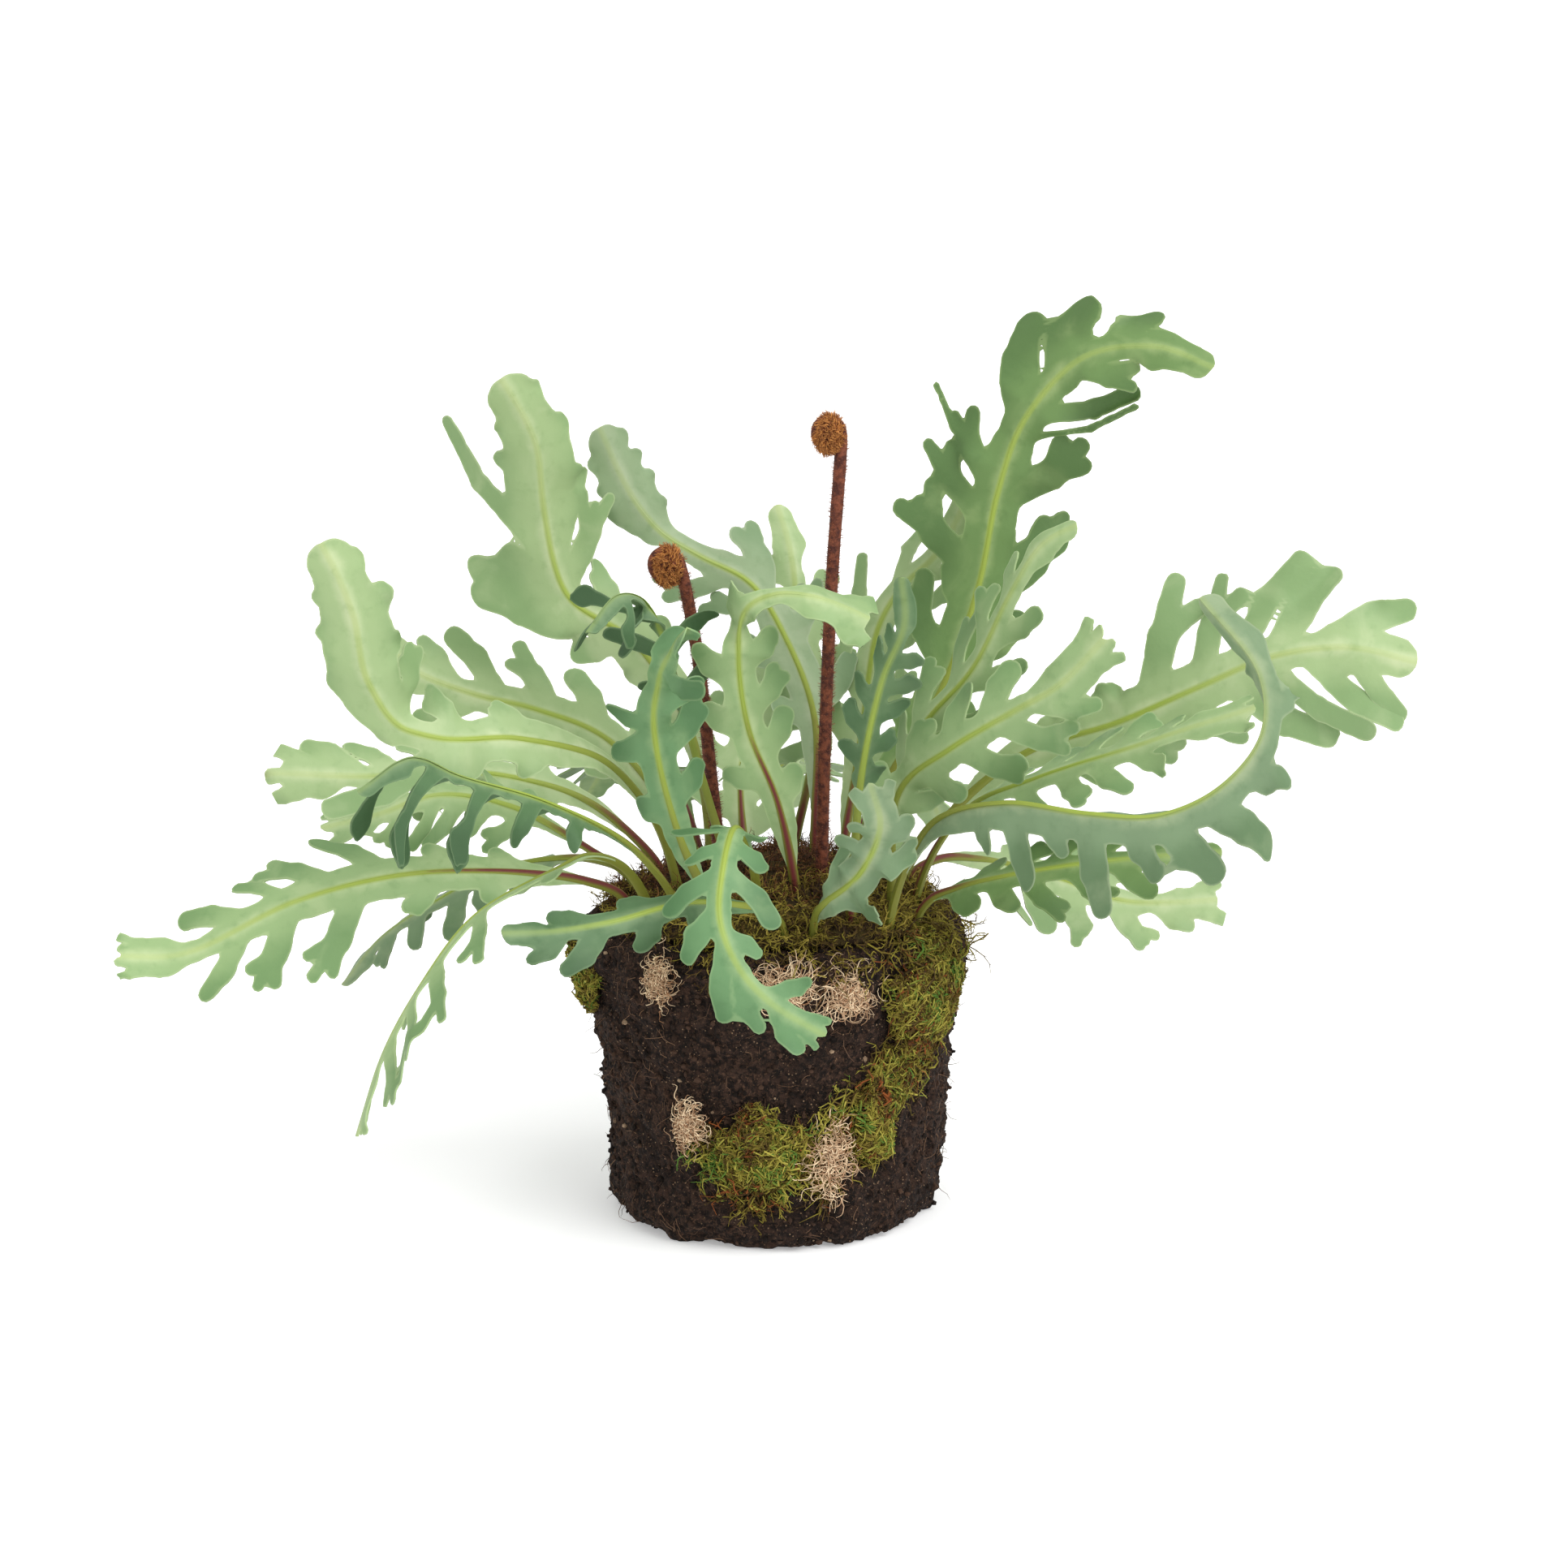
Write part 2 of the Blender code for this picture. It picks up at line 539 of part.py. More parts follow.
def blade_stations(length, plant):
    """The blade's stations, as distance from the foot and the reach of the left and right edge."""
    half, tip_half = plant["half"], plant["tip"]
    start = length * plant["stalk"]
    end = length * (1 - plant["tongue"])
    stations = [(start * 0.55, STALK_HALF, STALK_HALF)]
    outline = (SINUS_SHARE, 0.88, 1.0, 0.74)
    steps = plant["lobes"] * len(outline)
    for i in range(steps):
        share = i / steps
        swell = half * (0.45 + 0.55 * math.sin(math.pi * min(1.0, 0.12 + share * 0.88)))
        left = max(swell * outline[i % 4], WING_HALF)
        right = max(swell * outline[(i + 2) % 4], WING_HALF)
        stations.append((start + (end - start) * share, left, right))
    for share, wide in ((0.0, 0.85), (0.3, 1.0), (0.65, 0.95), (0.9, 0.55)):
        stations.append((end + (length - end) * share, tip_half * wide, tip_half * wide))
    return stations


def make_frond(name, plant, midrib, material):
    """A frond in one piece: a planted stalk that widens into a lobed blade with a raised midrib.
    Each station is a flat diamond: left edge, top of the rib, right edge, underside of the rib."""
    bm = bmesh.new()
    fall = math.radians(plant["fold"])
    length = midrib.length

    def diamond(s, left, right, half, sweep):
        ring = []
        position, _, normal, side = midrib.at(s)
        for reach, turn in ((left, -1), (None, 1), (right, 1), (None, -1)):
            if reach is None:
                ring.append(bm.verts.new(position + normal * half * turn))
                continue
            p, _, n, across = midrib.at(s + reach * sweep)
            drop = fall if reach > 2 * STALK_HALF else 0.0
            p = p + across * reach * turn * math.cos(drop) - n * reach * math.sin(drop)
            ring.append(bm.verts.new(p))
        return ring

    rings = []
    for s in (-PLANT_DEPTH, STALK_STRAIGHT * 0.8):
        rings.append(diamond(s, STALK_HALF, STALK_HALF, STALK_HALF, 0.0))
    for s, left, right in blade_stations(length, plant):
        half = RIB_HALF + (TIP_HALF - RIB_HALF) * s / length
        near_tip = max(0.0, (s / length - 1 + plant["tongue"]) / plant["tongue"])
        rings.append(diamond(s, left, right, half, LOBE_SWEEP * (1 - near_tip)))
    tip = bm.verts.new(midrib.at(length + 0.1 * plant["tip"])[0])
    for low, high in zip(rings, rings[1:]):
        for i in range(4):
            j = (i + 1) % 4
            bm.faces.new((low[i], low[j], high[j], high[i]))
    for i in range(4):
        bm.faces.new((rings[-1][i], rings[-1][(i + 1) % 4], tip))
    bm.faces.new(rings[0])
    bmesh.ops.triangulate(bm, faces=bm.faces)
    return add_mesh(name, bm, material)


# ---------------------------------------------------------------- fiddleheads

def make_fiddlehead(name, plant, midrib, material):
    """A young frond: a straight hairy stalk whose end is rolled up into a flat coil."""
    coil, thick = plant["coil"], CROZIER_STALK_RADIUS
    line = [(midrib.at(-PLANT_DEPTH)[0], thick)]
    steps = max(4, round(midrib.length / 14))
    for i in range(steps + 1):
        line.append((midrib.at(midrib.length * i / steps)[0], thick))
    top, up, _, _ = midrib.at(midrib.length)
    left = Vector((-1, 0, 0))
    left = (left - up * left.dot(up)).normalized()
    centre = top + left * (coil - thick) + up * 1.5
    for i in range(1, 19):
        turned = 2 * math.pi * 1.22 * i / 18
        spin = coil - thick - (coil - thick) * 0.82 * i / 18
        width = thick * (1 - 0.45 * i / 18)
        p = centre - left * spin * math.cos(turned) + up * spin * 1.15 * math.sin(turned)
        line.append((p, width))
    bm = bmesh.new()
    rings = []
    across = up.cross(left)
    for k, (p, width) in enumerate(line):
        ahead = line[min(k + 1, len(line) - 1)][0] - line[max(k - 1, 0)][0]
        inward = ahead.normalized().cross(across).normalized()
        ring = []
        for i in range(CROZIER_SIDES):
            a = 2 * math.pi * i / CROZIER_SIDES
            ring.append(bm.verts.new(p + (across * math.cos(a) + inward * math.sin(a)) * width))
        rings.append(ring)
    for low, high in zip(rings, rings[1:]):
        for i in range(CROZIER_SIDES):
            j = (i + 1) % CROZIER_SIDES
            bm.faces.new((low[i], low[j], high[j], high[i]))
    bm.faces.new(rings[0])
    bm.faces.new(rings[-1])
    return add_mesh(name, bm, material)


# ---------------------------------------------------------------- the plant, put together

for old in list(bpy.data.objects):
    bpy.data.objects.remove(old)

MATERIAL = {name: make_material(name, **look) for name, look in MATERIALS.items()}

root_ball = make_root_ball(MATERIAL["soil"])
crown_moss = make_crown_moss(MATERIAL["moss"])
for name, patch in PATCHES.items():
    make_patch(name, material=MATERIAL["moss" if name.startswith("moss") else "dry_fibre"], **patch)

midribs = {name: Midrib(plant, plant["faces"]) for name, plant in FRONDS.items()}
midribs.update({name: Midrib(plant) for name, plant in FIDDLEHEADS.items()})
widths = {midribs[name]: STALK_HALF for name in FRONDS}
widths.update({midribs[name]: CROZIER_STALK_RADIUS for name in FIDDLEHEADS})
holes = make_hole_cutter(midribs.values(), widths)
cut_holes(root_ball, holes)
cut_holes(crown_moss, holes)

for name, plant in FRONDS.items():
    finish = "frond_blue_green" if name in BLUE_GREEN_FRONDS else "frond_green"
    make_frond(name, plant, midribs[name], MATERIAL[finish])
for name, plant in FIDDLEHEADS.items():
    make_fiddlehead(name, plant, midribs[name], MATERIAL["fiddlehead_brown"])
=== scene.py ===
"""Fern with lobed fronds on its bare root ball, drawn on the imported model.
Metres, +Z up, front towards -Y."""

import itertools
import json
import math

import bmesh
import bpy
import numpy as np
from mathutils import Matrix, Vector, noise


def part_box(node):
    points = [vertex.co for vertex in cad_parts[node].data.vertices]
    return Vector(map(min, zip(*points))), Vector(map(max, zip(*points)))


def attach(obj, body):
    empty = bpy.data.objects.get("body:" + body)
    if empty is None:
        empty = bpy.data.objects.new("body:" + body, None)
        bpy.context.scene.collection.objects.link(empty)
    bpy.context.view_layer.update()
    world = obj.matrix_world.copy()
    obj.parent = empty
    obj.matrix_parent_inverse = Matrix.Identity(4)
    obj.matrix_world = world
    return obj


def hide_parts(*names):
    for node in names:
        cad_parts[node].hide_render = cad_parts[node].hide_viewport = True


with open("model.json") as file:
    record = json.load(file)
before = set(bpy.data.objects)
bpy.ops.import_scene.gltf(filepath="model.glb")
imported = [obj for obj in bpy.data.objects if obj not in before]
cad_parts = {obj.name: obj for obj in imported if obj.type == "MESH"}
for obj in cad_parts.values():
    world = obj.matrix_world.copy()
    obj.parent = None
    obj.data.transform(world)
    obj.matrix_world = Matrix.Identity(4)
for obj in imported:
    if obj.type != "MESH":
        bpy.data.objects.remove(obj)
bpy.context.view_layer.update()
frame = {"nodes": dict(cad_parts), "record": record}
MM = 0.001

# ---------------------------------------------------------------- studio
# A white sweep that the plant stands on, glowing a little so that the shadow on it stays thin, a
# broad soft key from the upper right, and a camera a little above the rim, square to the front.

CAMERA_PLACE = Vector((0.003, -1.3154, 0.4417))
CAMERA_AIM = Vector((0.003, 0.0, 0.138))

bpy.ops.object.select_all(action="DESELECT")
bpy.ops.object.camera_add(location=CAMERA_PLACE)
camera = bpy.context.object
camera.rotation_euler = (CAMERA_AIM - CAMERA_PLACE).to_track_quat("-Z", "Y").to_euler()
camera.data.lens = 98.3
camera.data.sensor_width = 36.0
bpy.context.scene.camera = camera
bpy.context.scene.view_settings.view_transform = "Standard"

world = bpy.data.worlds.new("studio")
bpy.context.scene.world = world
world.use_nodes = True
sky = world.node_tree.nodes["Background"].inputs
sky["Color"].default_value = (1.0, 1.0, 1.0, 1.0)
sky["Strength"].default_value = 0.92

bpy.ops.object.light_add(type="SUN", location=(1.0, -1.0, 2.0))
key = bpy.context.object
key.rotation_euler = (-Vector((0.60, -0.55, 1.0))).to_track_quat("-Z", "Y").to_euler()
key.data.energy = 2.2
key.data.angle = math.radians(48)

bpy.ops.mesh.primitive_plane_add(size=60.0, location=(0, 0, 0))
floor = bpy.context.object
floor.name = "floor"
sweep = bpy.data.materials.new("white sweep")
sweep.use_nodes = True
coat = sweep.node_tree.nodes["Principled BSDF"].inputs
coat["Base Color"].default_value = (0.8, 0.8, 0.8, 1.0)
coat["Emission Color"].default_value = (1.0, 1.0, 1.0, 1.0)
coat["Emission Strength"].default_value = 0.3
coat["Roughness"].default_value = 0.9
floor.data.materials.append(sweep)

# ---------------------------------------------------------------- root ball
# Damp peat and fine roots that kept the shape of a pot: a lumpy, crumbly surface, almost black
# where it is wet, with paler crumbs and grit. It stands on its own flat underside.

PEAT_VOXEL = 1.15 * MM
PEAT_LUMPS = ((15.0, 2.0), (6.0, 1.6), (2.6, 1.0))  # width and height of the lumps, millimetres
CRUMBS = 2600
ROOTLETS = 900


def srgb(red, green, blue):
    """A colour given in the usual 0 to 255 values, as the shader takes it."""
    values = (c / 255 for c in (red, green, blue))
    return (*(c / 12.92 if c <= 0.04045 else ((c + 0.055) / 1.055) ** 2.4 for c in values), 1.0)


class Field:
    """A value that varies over a surface. Arithmetic on it adds Math nodes."""

    def __init__(self, finish, socket):
        self.finish = finish
        self.socket = socket

    def math(self, operation, first, second):
        return self.finish.node("Math", {0: first, 1: second}, operation=operation)

    def __add__(self, other):
        return self.math("ADD", self, other)

    __radd__ = __add__

    def __sub__(self, other):
        return self.math("SUBTRACT", self, other)

    def __rsub__(self, other):
        return self.math("SUBTRACT", other, self)

    def __mul__(self, other):
        return self.math("MULTIPLY", self, other)

    __rmul__ = __mul__


class Finish:
    """A material and the nodes that draw it."""

    def __init__(self, name, roughness=0.6, specular=0.5):
        self.material = bpy.data.materials.new(name)
        self.material.use_nodes = True
        self.tree = self.material.node_tree
        self.shader = self.tree.nodes["Principled BSDF"]
        self.shader.inputs["Roughness"].default_value = roughness
        self.shader.inputs["Specular IOR Level"].default_value = specular

    def node(self, kind, sockets, output=0, **settings):
        """Adds a node: its settings first, then the values or links of its sockets."""
        made = self.tree.nodes.new("ShaderNode" + kind)
        for name, value in settings.items():
            setattr(made, name, value)
        for name, value in sockets.items():
            if isinstance(value, Field):
                self.tree.links.new(value.socket, made.inputs[name])
            else:
                made.inputs[name].default_value = value
        return Field(self, made.outputs[output])

    def place(self):
        return self.node("TexCoord", {}, output="Object")

    def noise(self, width, detail=3.0, **sockets):
        """Soft noise whose blots are about that many millimetres wide."""
        sockets = {"Vector": self.place(), "Scale": 1000 / width, "Detail": detail, **sockets}
        return self.node("TexNoise", sockets)

    def attribute(self, name):
        return self.node("Attribute", {}, output="Fac", attribute_name=name)

    def step(self, value, low, high):
        """0 below low, 1 above high, and smooth between them."""
        sockets = {"Value": value, "From Min": low, "From Max": high}
        return self.node("MapRange", sockets, interpolation_type="SMOOTHSTEP")

    def mix(self, share, low, high):
        return self.node("Mix", {0: share, 6: low, 7: high}, output=2, data_type="RGBA")

    def color(self, field):
        self.tree.links.new(field.socket, self.shader.inputs["Base Color"])

    def roughness(self, field):
        self.tree.links.new(field.socket, self.shader.inputs["Roughness"])

    def bump(self, height, distance, strength=1.0):
        sockets = {"Height": height, "Distance": distance, "Strength": strength}
        self.tree.links.new(self.node("Bump", sockets).socket, self.shader.inputs["Normal"])


def finish_of_peat():
    peat = Finish("peat", roughness=0.95, specular=0.2)
    wet = peat.noise(19.0, 3.0)
    crumbs = peat.noise(2.0, 5.0)
    flecks = peat.node("TexVoronoi", {"Vector": peat.place(), "Scale": 1000 / 1.5})
    fine = peat.noise(0.8, 3.0)
    color = peat.mix(peat.step(crumbs, 0.38, 0.66), srgb(22, 15, 12), srgb(60, 43, 34))
    color = peat.mix(peat.step(fine, 0.52, 0.7) * 0.55, color, srgb(98, 72, 55))
    color = peat.mix(peat.step(wet, 0.38, 0.68) * 0.55, color, srgb(22, 15, 12))
    grit = (1 - peat.step(flecks, 0.10, 0.22)) * peat.step(wet, 0.35, 0.6) * 0.8
    color = peat.mix(grit, color, srgb(150, 122, 96))
    peat.color(color)
    peat.bump(crumbs * 0.8 + fine * 0.6, 2.0 * MM)
    return peat.material


def copy_of(node, name):
    """A copy of a CAD solid, as one closed mesh."""
    copied = frame["nodes"][node].copy()
    copied.data = frame["nodes"][node].data.copy()
    copied.name = copied.data.name = name
    copied.parent = None
    for key_name in list(copied.keys()):
        del copied[key_name]
    bpy.context.scene.collection.objects.link(copied)
    bm = bmesh.new()
    bm.from_mesh(copied.data)
    bmesh.ops.remove_doubles(bm, verts=bm.verts, dist=0.01 * MM)
    bm.to_mesh(copied.data)
    bm.free()
    copied.data.materials.clear()
    return copied


def apply_modifiers(obj):
    bpy.ops.object.select_all(action="DESELECT")
    bpy.context.view_layer.objects.active = obj
    obj.select_set(True)
    for modifier in list(obj.modifiers):
        bpy.ops.object.modifier_apply(modifier=modifier.name)


def stand_for(piece, material, slot, *nodes):
    """Gives a finished piece its material, hangs it on the root body and hides the CAD nodes that it
    shows. The slot is not used."""
    piece.data.materials.append(material)
    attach(piece, "root")
    if nodes:
        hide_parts(*nodes)


def even_and_lumpy(obj, voxel, lumps, pits=0.0, sink=0.0):
    """Gives a CAD copy an even, fine mesh and pushes it in and out along its normals."""
    remesh = obj.modifiers.new("even", "REMESH")
    remesh.mode = "VOXEL"
    remesh.voxel_size = voxel * 1
    apply_modifiers(obj)
    bm = bmesh.new()
    bm.from_mesh(obj.data)
    bm.normal_update()
    moved = []
    for vert in bm.verts:
        push = pits * (noise.cell(vert.co / (3.1 * MM)) - 0.5) - sink
        for width, height in lumps:
            push += height * noise.noise(vert.co / (width * MM))
        place = vert.co + vert.normal * push * MM
        place.z = max(place.z, 0.0)
        moved.append(place)
    for vert, place in zip(bm.verts, moved):
        vert.co = place
    bm.to_mesh(obj.data)
    bm.free()
    obj.data.shade_smooth()


def spots_on(obj, count, rng, keep=lambda place, normal: True):
    """Up to that many random places on a piece's faces, with the way out of the surface there."""
    mesh = obj.data
    mesh.calc_loop_triangles()
    corners = np.array([[mesh.vertices[v].co for v in t.vertices] for t in mesh.loop_triangles])
    normals = np.cross(corners[:, 1] - corners[:, 0], corners[:, 2] - corners[:, 0])
    areas = np.linalg.norm(normals, axis=1)
    order = rng.choice(len(areas), size=count * 9, p=areas / areas.sum())
    spots = []
    for k, u, v in zip(order, rng.random(count * 9), rng.random(count * 9)):
        if u + v > 1:
            u, v = 1 - u, 1 - v
        a, b, c = corners[k]
        place = a + (b - a) * u + (c - a) * v
        normal = normals[k] / areas[k]
        if keep(place, normal):
            spots.append((place, normal))
        if len(spots) == count:
            break
    return spots


def set_attribute(mesh, name, values):
    data = mesh.attributes.new(name, "FLOAT", "POINT").data
    data.foreach_set("value", np.asarray(values, np.float32))


def link_mesh(name, verts, faces, **attributes):
    mesh = bpy.data.meshes.new(name)
    mesh.from_pydata([tuple(v) for v in verts], [], faces)
    for attribute, values in attributes.items():
        set_attribute(mesh, attribute, values)
    obj = bpy.data.objects.new(name, mesh)
    bpy.context.scene.collection.objects.link(obj)
    return obj


def scatter_crumbs(name, spots, sizes, rng):
    """Small squashed lumps half sunk in a surface."""
    bm = bmesh.new()
    bmesh.ops.create_icosphere(bm, subdivisions=1, radius=1.0)
    shape = np.array([v.co for v in bm.verts])
    shape_faces = [tuple(v.index for v in f.verts) for f in bm.faces]
    bm.free()
    verts, faces, tones = [], [], []
    for place, normal in spots:
        size = rng.uniform(*sizes) * MM
        lump = shape * (1 + rng.uniform(-0.3, 0.3, shape.shape)) * size * rng.uniform(0.6, 1.0, 3)
        first = len(verts)
        verts.extend(place + normal * size * rng.uniform(-0.2, 0.5) + lump)
        faces.extend(tuple(first + k for k in f) for f in shape_faces)
        tones.extend([rng.random()] * len(shape))
    verts = np.maximum(verts, (-1.0, -1.0, 0.0))
    return link_mesh(name, verts, faces, tone=tones)


def make_strands(name, paths, thick, tones, sides=3, taper=0.35):
    """Many thin strands as one mesh: paths holds, strand by strand, the points that each follows."""
    paths = np.asarray(paths)
    count, steps, _ = paths.shape
    ahead = np.gradient(paths, axis=1)
    ahead /= np.linalg.norm(ahead, axis=2, keepdims=True) + 1e-12
    mean = ahead.mean(axis=1)
    across = np.eye(3)[np.argmin(np.abs(mean), axis=1)][:, None, :]
    u = np.cross(ahead, across)
    u /= np.linalg.norm(u, axis=2, keepdims=True) + 1e-12
    v = np.cross(ahead, u)
    share = np.linspace(0, 1, steps)
    radius = np.asarray(thick)[:, None] * (1 - (1 - taper) * share**2)[None, :]
    turns = 2 * np.pi * np.arange(sides) / sides
    rings = (paths[:, :, None] + radius[:, :, None, None]
             * (u[:, :, None] * np.cos(turns)[:, None] + v[:, :, None] * np.sin(turns)[:, None]))
    verts = rings.reshape(-1, 3)
    faces = []
    for n in range(count):
        first = n * steps * sides
        for k in range(steps - 1):
            for m in range(sides):
                a, b = first + k * sides + m, first + k * sides + (m + 1) % sides
                faces.append((a, b, b + sides, a + sides))
        faces.append(tuple(range(first + sides - 1, first - 1, -1)))
        faces.append(tuple(range(first + (steps - 1) * sides, first + steps * sides)))
    return link_mesh(name, verts, faces, tone=np.repeat(tones, steps * sides))


def finish_of_strands(name, dark, pale, roughness, specular):
    """Strands, each of one tone between the two shades."""
    finish = Finish(name, roughness, specular)
    finish.color(finish.mix(finish.attribute("tone"), srgb(*dark), srgb(*pale)))
    return finish.material


def wander(place, way, length, steps, rng, wobble=0.4, pull=(0, 0, 0)):
    """The points of a strand that sets off that way and strays a little at each step."""
    points = [np.array(place)]
    way = np.array(way, float)
    for _ in range(steps - 1):
        way = way / (np.linalg.norm(way) + 1e-9)
        points.append(points[-1] + way * length / (steps - 1))
        way = way + rng.normal(0, wobble, 3) + np.array(pull)
    return points


root_ball = copy_of("root_ball", "peat_ball")
even_and_lumpy(root_ball, PEAT_VOXEL, PEAT_LUMPS, pits=0.5)
stand_for(root_ball, finish_of_peat(), "soil", "root_ball")

peat_random = np.random.default_rng(5)
bare = spots_on(root_ball, CRUMBS + ROOTLETS, peat_random, lambda p, n: p[2] > 1.5 * MM)
crumbs = scatter_crumbs("peat_crumbs", bare[:CRUMBS], (0.35, 1.35), peat_random)
crumb_finish = Finish("peat crumbs", roughness=0.95, specular=0.2)
crumb_tone = crumb_finish.attribute("tone")
crumb_color = crumb_finish.mix(crumb_finish.step(crumb_tone, 0.2, 0.9), srgb(24, 17, 13), srgb(70, 51, 40))
crumb_color = crumb_finish.mix(crumb_finish.step(crumb_tone, 0.96, 0.98), crumb_color, srgb(150, 126, 102))
crumb_finish.color(crumb_color)
crumb_finish.bump(crumb_finish.noise(0.9, 3.0), 0.7 * MM)
stand_for(crumbs, crumb_finish.material, "soil")

rootlet_paths = []
for place, normal in bare[CRUMBS:]:
    way = np.cross(normal, peat_random.normal(0, 1, 3)) + normal * 0.15
    path = wander(place, way, peat_random.uniform(3, 9) * MM, 5, peat_random, 0.35, -normal * 0.12)
    rootlet_paths.append([np.maximum(point, (-1.0, -1.0, 0.2 * MM)) for point in path])
rootlets = make_strands("fine_roots", rootlet_paths, [0.13 * MM] * len(rootlet_paths),
                        peat_random.random(len(rootlet_paths)))
stand_for(rootlets, finish_of_strands("fine roots", (56, 37, 27), (120, 90, 66), 0.8, 0.3), "soil")

# ---------------------------------------------------------------- moss
# Sheet moss: a low springy cushion over the top of the soil and wisps of it that hang down the
# side, olive and gold, with fresh green threads. Brown wiry roots show between the stalks.


def finish_of_moss(name, *shades):
    """Moss whose strands go through the shades in turn, from the darkest and oldest on."""
    moss = Finish(name, roughness=0.85, specular=0.2)
    tone = moss.attribute("tone") + (moss.noise(6.0, 3.0) - 0.5) * 0.8
    color = srgb(*shades[0])
    for k, shade in enumerate(shades[1:]):
        share = (k + 1) / len(shades)
        color = moss.mix(moss.step(tone, share - 0.06, share + 0.06), color, srgb(*shade))
    moss.color(color)
    return moss.material


# The cushion is dark brown: partly the moss's own colour, partly painted shade that stands for the shadow
# between the wisps lying over it.
def finish_of_cushion_and_shade():
    cushion = Finish("moss cushion and painted shade", roughness=0.95, specular=0.15)
    blots = cushion.noise(7.0, 4.0)
    fine = cushion.noise(1.2, 4.0)
    color = cushion.mix(cushion.step(blots, 0.4, 0.62), srgb(38, 27, 17), srgb(62, 52, 22))
    color = cushion.mix(cushion.step(fine, 0.5, 0.7) * 0.6, color, srgb(96, 80, 36))
    cushion.color(color)
    cushion.bump(fine + blots * 0.5, 1.6 * MM)
    return cushion.material


def joined(piece, other):
    """The piece with the other object joined into it."""
    bpy.ops.object.select_all(action="DESELECT")
    other.select_set(True)
    piece.select_set(True)
    bpy.context.view_layer.objects.active = piece
    bpy.ops.object.join()
    return piece


def moss_wisps(name, spots, rng, length, thick, down, lift, over=None, wobble=0.6, steps=6):
    """Feathery wisps: neighbours lie the same way, and each carries short side twigs. With over,
    they lie on that piece's surface."""
    paths, tones, twigs, twig_tones = [], [], [], []
    for place, normal in spots:
        here = Vector(place) / (9 * MM)
        flow = noise.noise_vector(here)
        way = np.cross(normal, np.array(flow) + rng.normal(0, 0.25, 3))
        way = way / (np.linalg.norm(way) + 1e-9) + normal * rng.uniform(0.3, 1.0) * lift
        way = way + np.array((0, 0, -down))
        pull = np.array((0, 0, -down * 0.35)) - normal * lift * 0.25
        path = wander(place, way, rng.uniform(*length) * MM, steps, rng, wobble, pull)
        if over:
            stand = rng.uniform(0.1, 2.3)
            for k, point in enumerate(path):
                _, under, out, _ = over.closest_point_on_mesh(Vector(point))
                path[k] = np.array(under + out * ((stand + 0.6 * math.sin(1.7 * k + 9 * stand)) * MM))
        path = [np.maximum(point, (-1.0, -1.0, 0.4 * MM)) for point in path]
        tone = min(0.999, max(0.0, 0.52 + 0.5 * noise.noise(here * 1.1) + rng.normal(0, 0.17)))
        paths.append(path)
        tones.append(tone)
        for k in range(1, steps - 1):
            ahead = path[k + 1] - path[k]
            side = np.cross(ahead, rng.normal(0, 1, 3))
            side = side / (np.linalg.norm(side) + 1e-12) + ahead / (np.linalg.norm(ahead) + 1e-12) * 0.9
            twigs.append([path[k], path[k] + side / np.linalg.norm(side) * rng.uniform(0.9, 2.0) * MM])
            twig_tones.append(min(0.999, tone + 0.08))
    strands = make_strands(name, paths, rng.uniform(0.7, 1.25, len(paths)) * thick * MM, tones)
    small = make_strands(name + "_twigs", twigs, [thick * 0.65 * MM] * len(twigs), twig_tones)
    return joined(strands, small)


cushion_and_shade_finish = finish_of_cushion_and_shade()
side_moss = finish_of_moss("side moss", (128, 70, 32), (58, 42, 20), (82, 66, 28), (108, 94, 36),
                           (132, 122, 46), (158, 148, 64), (110, 120, 44), (82, 114, 44))
crown_moss = finish_of_moss("crown moss", (54, 38, 22), (78, 60, 26), (104, 88, 34), (130, 118, 44),
                            (158, 140, 64))
brown_roots = finish_of_moss("wiry roots", (44, 27, 18), (66, 40, 24), (92, 58, 32), (126, 90, 50))

moss_random = np.random.default_rng(17)
noise.seed_set(17)        # noise_vector differs from run to run without a seed
crown = copy_of("crown_moss", "crown_cushion")
even_and_lumpy(crown, 1.1 * MM, ((11.0, 1.8), (4.0, 1.3), (1.8, 0.6)))
stand_for(crown, cushion_and_shade_finish, "moss", "crown_moss")


def rightness(place):
    """1 towards the right and front of the rim, where the moss is thickest, and 0 opposite."""
    return 0.5 + 0.5 * math.cos(math.atan2(place[1], place[0]) + 0.7)


upper = spots_on(crown, 5200, moss_random, lambda p, n: n[2] > 0.15)
middle = [s for s in upper if math.hypot(s[0][0], s[0][1]) < (34 + 20 * (1 - rightness(s[0]))) * MM]
outer = [s for s in upper if math.hypot(s[0][0], s[0][1]) > (16 + 30 * (1 - rightness(s[0]))) * MM]
crown_roots = moss_wisps("crown_roots", middle[:1700], moss_random, (6, 14), 0.17, 0.0, 0.7, wobble=0.8)
stand_for(crown_roots, brown_roots, "moss")
crown_wisps = moss_wisps("crown_moss_wisps", outer[:2300], moss_random, (5, 11), 0.24, 0.0, 0.4, wobble=0.7)
stand_for(crown_wisps, crown_moss, "moss")
edge = spots_on(crown, 1700, moss_random,
                lambda p, n: n[2] < 0.75 and moss_random.random() < 0.25 + rightness(p))
edge += spots_on(root_ball, 1000, moss_random,
                 lambda p, n: p[2] > 86 * MM and n[2] > -0.1 and rightness(p) > 0.62)
edge_wisps = moss_wisps("rim_moss_wisps", edge, moss_random, (7, 16), 0.24, 0.45, 0.35)
stand_for(edge_wisps, crown_moss, "moss")

